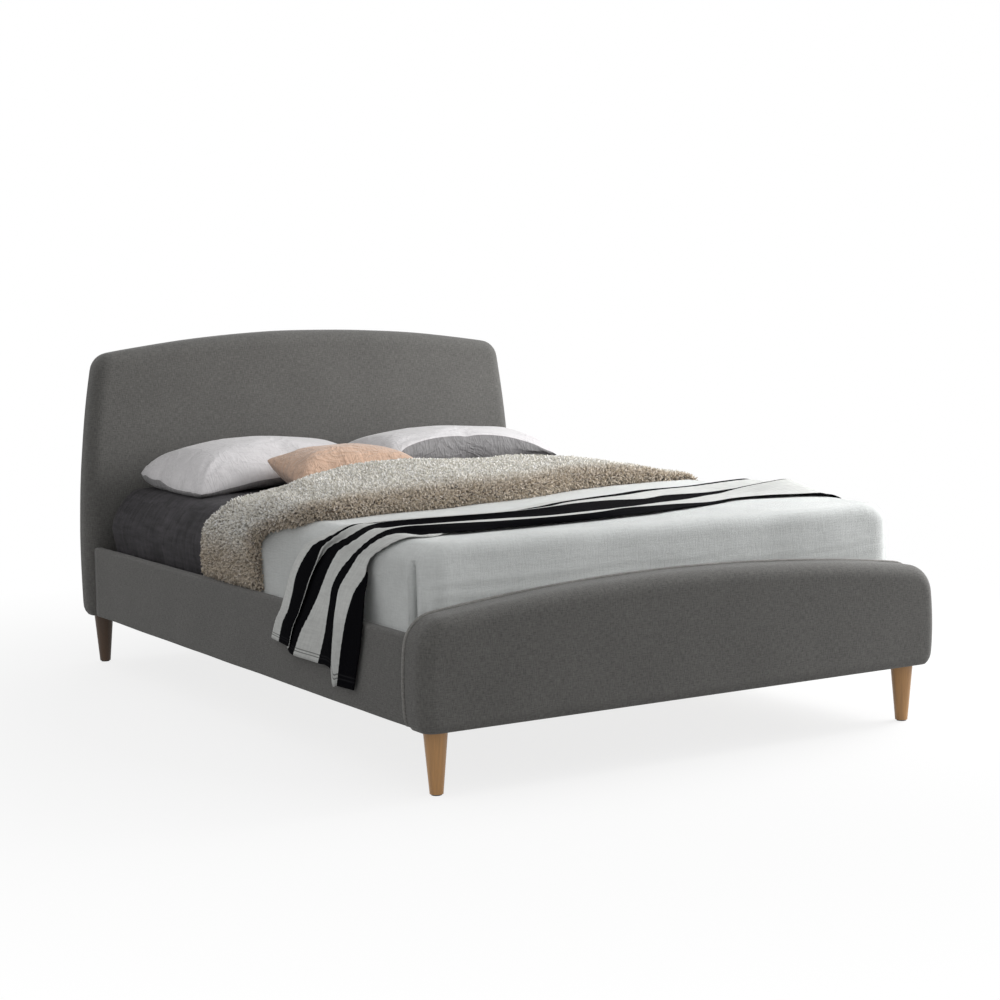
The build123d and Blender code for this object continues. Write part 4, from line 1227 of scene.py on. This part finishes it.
def over_bed(gap, left_end, right_end, left_x=None):
    """Places along a path over the bed cover, from the left end to the right, as (x, z, out x, out z).

    With left_x the path leaves the cover at the left and hangs down outside the rail.
    """
    radius = COVER_EDGE + gap
    centre_x, centre_z = COVER_HIGH.x - COVER_EDGE, COVER_HIGH.z - COVER_EDGE
    bend = arc((centre_x, centre_z), radius, 0.0, math.pi / 2, 24)
    right = bend[::-1] + [(centre_x + radius, right_end, 1.0, 0.0)]
    left = flipped(bend)
    start = [(-centre_x - radius, left_end, -1.0, 0.0)]
    if left_x is not None:
        shoulder = RAIL_TOP + 0.010
        slope = (-math.cos(0.26), math.sin(0.26))
        left = [p for p in left if p[1] > centre_z + 0.012]
        start = [(left_x, left_end, -1.0, 0.0), (left_x, RAIL_TOP - 0.012, -1.0, 0.0),
                 (left_x + 0.003, shoulder - 0.004, -0.985, 0.17), (left_x + 0.010, shoulder + 0.025, *slope)]
    return resampled(start + left + right, PATH_STEPS)


def stations_on(path, left, top, right=()):
    """Puts stations given by height at the sides and by place on top at distances along a path."""
    far = distances(path)
    last = len(path) - 1

    def at_height(z, span):
        return far[min(span, key=lambda i: abs(path[i][1] - z))]

    def on_top(x):
        return far[min(range(last + 1), key=lambda i: abs(path[i][0] - x) + 9 * (path[i][3] < 0.4))]

    places = [(at_height(z, range(last // 3)), v) for z, v in left]
    places += [(on_top(x), v) for x, v in top]
    places += [(at_height(z, range(2 * last // 3, last + 1)), v) for z, v in right]
    return far, sorted(places)


def new_tuft(length):
    """One tuft of pile: three bent blades, lighter towards the tip; the tip attribute carries painted shade
    at the root.
    """
    bm = bmesh.new()
    tip = bm.verts.layers.float.new("tip")
    for k in range(3):
        part = bmesh.ops.create_grid(bm, x_segments=1, y_segments=2, size=0.5)["verts"]
        for vert in part:
            far = vert.co.y + 0.5
            vert[tip] = far
            width = 0.0054 - 0.0030 * far
            lean = 0.25 + 0.75 * far
            height = length * (far - 0.28 * far * far)
            vert.co = (vert.co.x * width, 0.0015 + lean * length * 0.55 * far, height)
        bmesh.ops.rotate(bm, verts=part, cent=(0, 0, 0), matrix=Matrix.Rotation(k * 2.1 + 0.4, 3, "Z"))
    mesh = bpy.data.meshes.new("tuft")
    bm.to_mesh(mesh)
    bm.free()
    return bpy.data.objects.new("tuft", mesh)


def tuft_nodes(tuft, density, seed):
    """Geometry nodes that plant tufts where a piece's nap attribute is set."""
    tree = bpy.data.node_groups.new("Plant tufts", "GeometryNodeTree")
    tree.interface.new_socket("Geometry", in_out="INPUT", socket_type="NodeSocketGeometry")
    tree.interface.new_socket("Geometry", in_out="OUTPUT", socket_type="NodeSocketGeometry")
    start, end = tree.nodes.new("NodeGroupInput"), tree.nodes.new("NodeGroupOutput")
    nap = add(tree, "GeometryNodeInputNamedAttribute", {0: "nap"}, data_type="FLOAT").outputs[0]
    chosen = add(tree, "FunctionNodeCompare", {0: nap, 1: 0.5}, operation="GREATER_THAN").outputs[0]
    inputs = {0: start.outputs[0], 1: chosen, 4: density, 6: seed}
    spots = add(tree, "GeometryNodeDistributePointsOnFaces", inputs)
    turn = add(tree, "FunctionNodeRandomValue", {0: (-0.5, -0.5, -3.14), 1: (0.5, 0.5, 3.14), 8: seed + 1},
               data_type="FLOAT_VECTOR").outputs[0]
    turn = add(tree, "FunctionNodeEulerToRotation", {0: turn}).outputs[0]
    turned = add(tree, "FunctionNodeRotateRotation", {0: spots.outputs["Rotation"], 1: turn},
                 rotation_space="LOCAL").outputs[0]
    size = add(tree, "FunctionNodeRandomValue", {2: 0.7, 3: 1.3, 8: seed + 2}, data_type="FLOAT").outputs[1]
    shape = add(tree, "GeometryNodeObjectInfo", {0: tuft}).outputs["Geometry"]
    planted = add(tree, "GeometryNodeInstanceOnPoints", {0: spots.outputs[0], 2: shape, 5: turned, 6: size})
    yarn = add(tree, "FunctionNodeRandomValue", {2: 0.0, 3: 1.0, 8: seed + 3}, data_type="FLOAT").outputs[1]
    marked = add(tree, "GeometryNodeStoreNamedAttribute", {0: planted.outputs[0], 2: "yarn", 3: yarn},
                 data_type="FLOAT", domain="INSTANCE")
    real = add(tree, "GeometryNodeRealizeInstances", {0: marked.outputs[0]})
    tree.links.new(real.outputs[0], end.inputs[0])
    return tree


def plant_tufts(ground, name, tuft, density, seed, material):
    """Grows tufts on a piece and returns them as a piece of their own."""
    grown = ground.modifiers.new("Tufts", "NODES")
    grown.node_group = tuft_nodes(tuft, density, seed)
    mesh = evaluated_mesh(ground)
    ground.modifiers.remove(grown)
    mesh.materials.clear()
    return linked(name, mesh, material)


def set_nap(piece, chosen):
    """Marks where tufts grow: chosen(place, share across) for each point."""
    mesh = piece.data
    nap = mesh.attributes.get("nap") or mesh.attributes.new("nap", "FLOAT", "POINT")
    across = mesh.attributes["across"]
    for k, vert in enumerate(mesh.vertices):
        nap.data[k].value = 1.0 if chosen(vert.co, across.data[k].value) else 0.0


class BED_OT_pile_throw(bpy.types.Operator):
    """Make the folded deep-pile throw and its tufts"""

    bl_idname = "bed.pile_throw"
    bl_label = "Deep-pile throw"

    def execute(self, context):
        looks, sizes = context.scene.bed_looks, context.scene.bed_sizes
        path = over_bed(0.001, RAIL_TOP + 0.002, RAIL_TOP + 0.004)
        far, stations = stations_on(path, PILE_LEFT, PILE_TOP, PILE_RIGHT)
        flat_width, flat_length = 0.86, far[-1]

        def folded(s, t):
            at = far[-1] * t
            x, z, out_x, out_z = path[round(t * PATH_STEPS)]
            foot, crown, head, thick, tail = along(stations, at)
            end = min(at, far[-1] - at)
            thick *= 0.25 + 0.75 * ease(-0.004, 0.022, end)
            roll = min(thick, 0.034 + 0.4 * max(thick - 0.034, 0.0))
            front = foot + 0.04
            section = (
                (0.0, (head - 0.004, 0.0015)),
                (0.34, (foot + 0.036, 0.0015)),
                (0.385, (foot + 0.012, 0.10 * roll)),
                (0.43, (foot, 0.46 * roll)),
                (0.475, (foot + 0.010, 0.82 * roll)),
                (0.53, (front, roll + 0.10 * (thick - roll))),
                (0.66, (front + 0.5 * (crown - front), roll + 0.72 * (thick - roll))),
                (0.80, (crown, thick)),
                (0.92, (crown + 0.60 * (head - crown), tail * thick)),
                (0.97, (crown + 0.90 * (head - crown), 0.57 * tail * thick)),
                (1.0, (head, 0.006)),
            )
            y, level = along(section, s)
            if s > 0.36:
                uneven = 0.0045 * rough(x * 7, y * 8, z * 7, 11.0)
                uneven += 0.002 * rough(x * 19, y * 19, z * 19, 12.0)
                level += uneven * ease(0.36, 0.5, s) * ease(1.0, 0.94, s)
                y += 0.008 * rough(x * 8, s * 3, z * 8, 13.0) * ease(0.36, 0.42, s) * ease(0.6, 0.5, s)
            return Vector((x + out_x * level, y, z + out_z * level))

        bm = cloth_grid(110, 200, folded, flat_width, flat_length)
        for name in ("across", "deep"):
            bm.verts.layers.float.new(name)
        across, deep = (bm.verts.layers.float[name] for name in ("across", "deep"))
        layer = bm.loops.layers.uv["UVMap"]
        for face in bm.faces:
            for loop in face.loops:
                share = loop[layer].uv.x / flat_width
                loop.vert[across] = share
                # deep marks painted shade: it darkens the front of the roll and the low part of the hanging
                # side.
                loop.vert[deep] = max(ease(0.60, 0.44, share), 0.9 * ease(0.51, 0.41, loop.vert.co.z))
        face_outwards(bm)
        top = max(bm.faces, key=lambda f: f.calc_center_median().z)
        if top.normal.z < 0:
            bmesh.ops.reverse_faces(bm, faces=bm.faces)
        ground = pile_material(looks, "Pile ground cloth", False)
        piece = make_piece("deep_pile_throw", bm, ground)
        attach(piece, "bedding")
        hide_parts("pile_throw")
        yarn = pile_material(looks, "Pile yarn", True)
        tuft = new_tuft(sizes.tuft)
        for k, (name, low, high) in enumerate(TUFT_BANDS):
            set_nap(piece, lambda p, a, low=low, high=high: low <= p.x < high and a > 0.37)
            nap = plant_tufts(piece, "pile_tufts_" + name, tuft, TUFT_DENSITY, 10 * k + 3, yarn)
            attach(nap, "bedding")
        bpy.data.objects.remove(tuft)
        return {"FINISHED"}


class BED_OT_striped_throw(bpy.types.Operator):
    """Make the gathered striped throw"""

    bl_idname = "bed.striped_throw"
    bl_label = "Striped throw"

    def execute(self, context):
        path = over_bed(0.0015, HANGING_LOW, 0.44, HANGING_X)
        total = sum(STRIPE_WIDTHS)
        lines = [sum(STRIPE_WIDTHS[:k]) / total for k in range(len(STRIPE_WIDTHS) + 1)]

        def with_tucks(values):
            fold = values[5] + TUCK_SHARE * (values[6] - values[5])
            edge = values[6] + EDGE_SHARE * (values[7] - values[6])
            return *values[:6], fold, values[6], edge, *values[7:]

        spots = with_tucks(lines)
        hanging = [(z, with_tucks(values)) for z, values in HANGING_STATIONS]
        far, stations = stations_on(path, [*hanging, *SHOULDER_STATIONS], TOP_STATIONS)
        stations.append((far[-1], TOP_STATIONS[-1][1]))
        hem = list(zip(lines, HEM_HEIGHTS))
        hem.insert(7, (lines[6] + HEM_DROP[0], HEM_DROP[1]))

        def gathered(s, t):
            at = far[-1] * t
            x, z, out_x, out_z = path[round(t * PATH_STEPS)]
            y = along(list(zip(spots, along(stations, at))), s)
            if x < -0.6 and z < HANGING_HIGH:
                low = along(hem, s)
                z = low + (z - HANGING_LOW) * (HANGING_HIGH - low) / (HANGING_HIGH - HANGING_LOW)
            on_top = ease(-0.69, -0.60, x)
            parts = ((on_top, TOP_LIFT), (ease(-0.10, 0.30, x), RIGHT_LIFT), (ease(0.42, 0.64, x), END_LIFT))
            lifts = HANGING_LIFT
            for share, other in parts:
                lifts = [a + (b - a) * share for a, b in zip(lifts, other)]
            lift = along(list(zip(spots, lifts)), s)
            lift += 0.002 * rough(at * 5, s * 7, 0.0, 21.0) * (1 - 0.8 * ease(spots[6], 1.0, s) * on_top)
            lift = max(lift, 0.0)
            return Vector((x + out_x * lift, y, z + out_z * lift))

        bm = cloth_grid(104, 260, gathered, total, far[-1])
        face_outwards(bm)
        piece = make_piece("striped_throw_cloth", bm, striped_material())
        thickened(piece, STRIPED_THICKNESS, -1.0)
        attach(piece, "bedding")
        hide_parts("striped_throw")
        return {"FINISHED"}


class BED_OT_pillows(bpy.types.Operator):
    """Blow up the two pillows and the cushion"""

    bl_idname = "bed.pillows"
    bl_label = "Pillows and cushion"

    def execute(self, context):
        looks, sizes = context.scene.bed_looks, context.scene.bed_sizes
        satin = cloth_material("Grey satin", looks.satin, threads=1500.0, flecks=220.0, contrast=0.05,
                               depth=0.0002, roughness=0.42, sheen=0.35, cloud=0.06, crease=(7.0, 0.0016),
                               gloss=0.45)
        # Painted shade: the cases' lower layer is the same satin darkened to about a third, for the shade
        # that falls below each pillow's seam.
        under = cloth_material("Satin underside", [0.34 * c for c in looks.satin], threads=1500.0,
                               flecks=220.0, contrast=0.08, depth=0.0002, roughness=0.5, sheen=0.2,
                               cloud=0.06, crease=(9.0, 0.002))
        for name, form in PILLOWS.items():
            low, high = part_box(name)
            size = high.x - low.x + 0.05, high.y - low.y + 0.05
            blow = (sizes.pillow_pressure, 26, 30.0, 0.15)
            piece = filled_case(name + "_satin", (satin, under), size, (64, 48), 0.035, blow,
                                (low, high), form)
            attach(piece, name)
            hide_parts(name)
        cloth = cloth_material("Terracotta cloth", looks.cushion, threads=700.0, flecks=120.0, contrast=0.10,
                               depth=0.0004, roughness=0.9, sheen=0.5, cloud=0.08, crease=(16.0, 0.003))
        low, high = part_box("cushion")
        high = high - Vector((CUSHION_SHORT, 0.0, 0.0))
        size = high.x - low.x + 0.03, CUSHION_DEPTH
        blow = (sizes.pillow_pressure, 24, 26.0, 0.1)
        piece = filled_case("terracotta_cushion", (cloth, cloth), size, (60, 34), 0.025,
                            blow, (low, high), CUSHION)
        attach(piece, "cushion")
        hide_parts("cushion")
        return {"FINISHED"}


def seen_rays(tree):
    """1 for rays that see the backdrop, also in gloss or through glass, and 0 for the light it casts."""
    path = add(tree, "ShaderNodeLightPath").outputs
    seen = math_node(tree, "MAXIMUM", path["Is Camera Ray"], path["Is Glossy Ray"])
    return math_node(tree, "MAXIMUM", seen, path["Is Transmission Ray"])


class BED_OT_studio(bpy.types.Operator):
    """Set up the floor, the light and the camera"""

    bl_idname = "bed.studio"
    bl_label = "Studio"

    def execute(self, context):
        scene = context.scene
        bm = bmesh.new()
        bmesh.ops.create_grid(bm, x_segments=2, y_segments=2, size=30.0)
        bmesh.ops.translate(bm, verts=bm.verts, vec=(0, 0, -0.0005))
        material, tree, surface = new_material("Pale studio floor")
        seen = seen_rays(tree)
        pale = mix_colour(tree, seen, FLOOR_BOUNCE, FLOOR_SEEN)
        set_inputs(tree, surface, {"Base Color": pale, "Roughness": 1.0, "Specular IOR Level": 0.0})
        away = add(tree, "ShaderNodeVectorMath", {0: object_place(tree)}, operation="LENGTH").outputs["Value"]
        share = math_node(tree, "MULTIPLY", seen, spread(tree, away, 1.1, 2.6, 0.80, 1.0))
        glow = add(tree, "ShaderNodeEmission", {"Color": WHITE, "Strength": 1.0})
        mixed = add(tree, "ShaderNodeMixShader", {0: share, 1: surface.outputs[0], 2: glow.outputs[0]})
        output = next(node for node in tree.nodes if node.type == "OUTPUT_MATERIAL")
        set_inputs(tree, output, {"Surface": mixed.outputs[0]})
        mesh = bpy.data.meshes.new("studio_floor")
        bm.to_mesh(mesh)
        bm.free()
        mesh.materials.append(material)
        floor = bpy.data.objects.new("studio_floor", mesh)
        scene.collection.objects.link(floor)

        world = bpy.data.worlds.new("Studio light")
        world.use_nodes = True
        tree = world.node_tree
        strength = spread(tree, seen_rays(tree), 0.0, 1.0, WORLD_STRENGTH, 1.0)
        set_inputs(tree, tree.nodes["Background"], {"Color": WHITE, "Strength": strength})
        scene.world = world
        for name, (place, target, width, height, power) in LAMPS.items():
            light = bpy.data.lights.new(name, "AREA")
            light.shape = "RECTANGLE"
            light.size, light.size_y, light.energy = width, height, power
            lamp = bpy.data.objects.new(name, light)
            lamp.location = place
            lamp.rotation_mode = "QUATERNION"
            lamp.rotation_quaternion = (Vector(target) - Vector(place)).to_track_quat("-Z", "Y")
            scene.collection.objects.link(lamp)

        forward = Vector((math.sin(CAMERA_TURN) * math.cos(CAMERA_DOWN),
                          math.cos(CAMERA_TURN) * math.cos(CAMERA_DOWN), -math.sin(CAMERA_DOWN)))
        level = Vector((math.cos(CAMERA_TURN), -math.sin(CAMERA_TURN), 0.0))
        upward = level.cross(forward)
        right = level * math.cos(CAMERA_ROLL) + upward * math.sin(CAMERA_ROLL)
        up = upward * math.cos(CAMERA_ROLL) - level * math.sin(CAMERA_ROLL)
        data = bpy.data.cameras.new("Camera")
        data.sensor_width = 36.0
        data.sensor_fit = "HORIZONTAL"
        data.lens = CAMERA_LENS
        data.clip_end = 200.0
        camera = bpy.data.objects.new("Camera", data)
        turned = Matrix((right, up, -forward)).transposed().to_4x4()
        camera.matrix_world = Matrix.Translation(CAMERA_PLACE) @ turned
        scene.collection.objects.link(camera)
        scene.camera = camera
        scene.view_settings.view_transform = "Standard"
        return {"FINISHED"}


class BED_PT_panel(bpy.types.Panel):
    """Lists what the bed is made of"""

    bl_idname = "BED_PT_panel"
    bl_label = "Upholstered bed"
    bl_space_type = "VIEW_3D"
    bl_region_type = "UI"
    bl_category = "Bed"

    def draw(self, context):
        for operator in OPERATORS:
            self.layout.operator(operator.bl_idname)
        for group in (context.scene.bed_looks, context.scene.bed_sizes):
            for key in group.__annotations__:
                self.layout.prop(group, key)


OPERATORS = (
    BED_OT_boards, BED_OT_rails, BED_OT_timber, BED_OT_under_cloths, BED_OT_mattress, BED_OT_cover,
    BED_OT_pile_throw, BED_OT_striped_throw, BED_OT_pillows, BED_OT_studio,
)
CLASSES = (BedLooks, BedSizes, *OPERATORS, BED_PT_panel)


def register():
    for cls in CLASSES:
        bpy.utils.register_class(cls)
    bpy.types.Scene.bed_looks = PointerProperty(type=BedLooks)
    bpy.types.Scene.bed_sizes = PointerProperty(type=BedSizes)


def unregister():
    del bpy.types.Scene.bed_sizes
    del bpy.types.Scene.bed_looks
    for cls in reversed(CLASSES):
        bpy.utils.unregister_class(cls)


def main():
    register()
    for operator in OPERATORS:
        getattr(bpy.ops.bed, operator.bl_idname.removeprefix("bed."))()


if __name__ == "__main__":
    main()
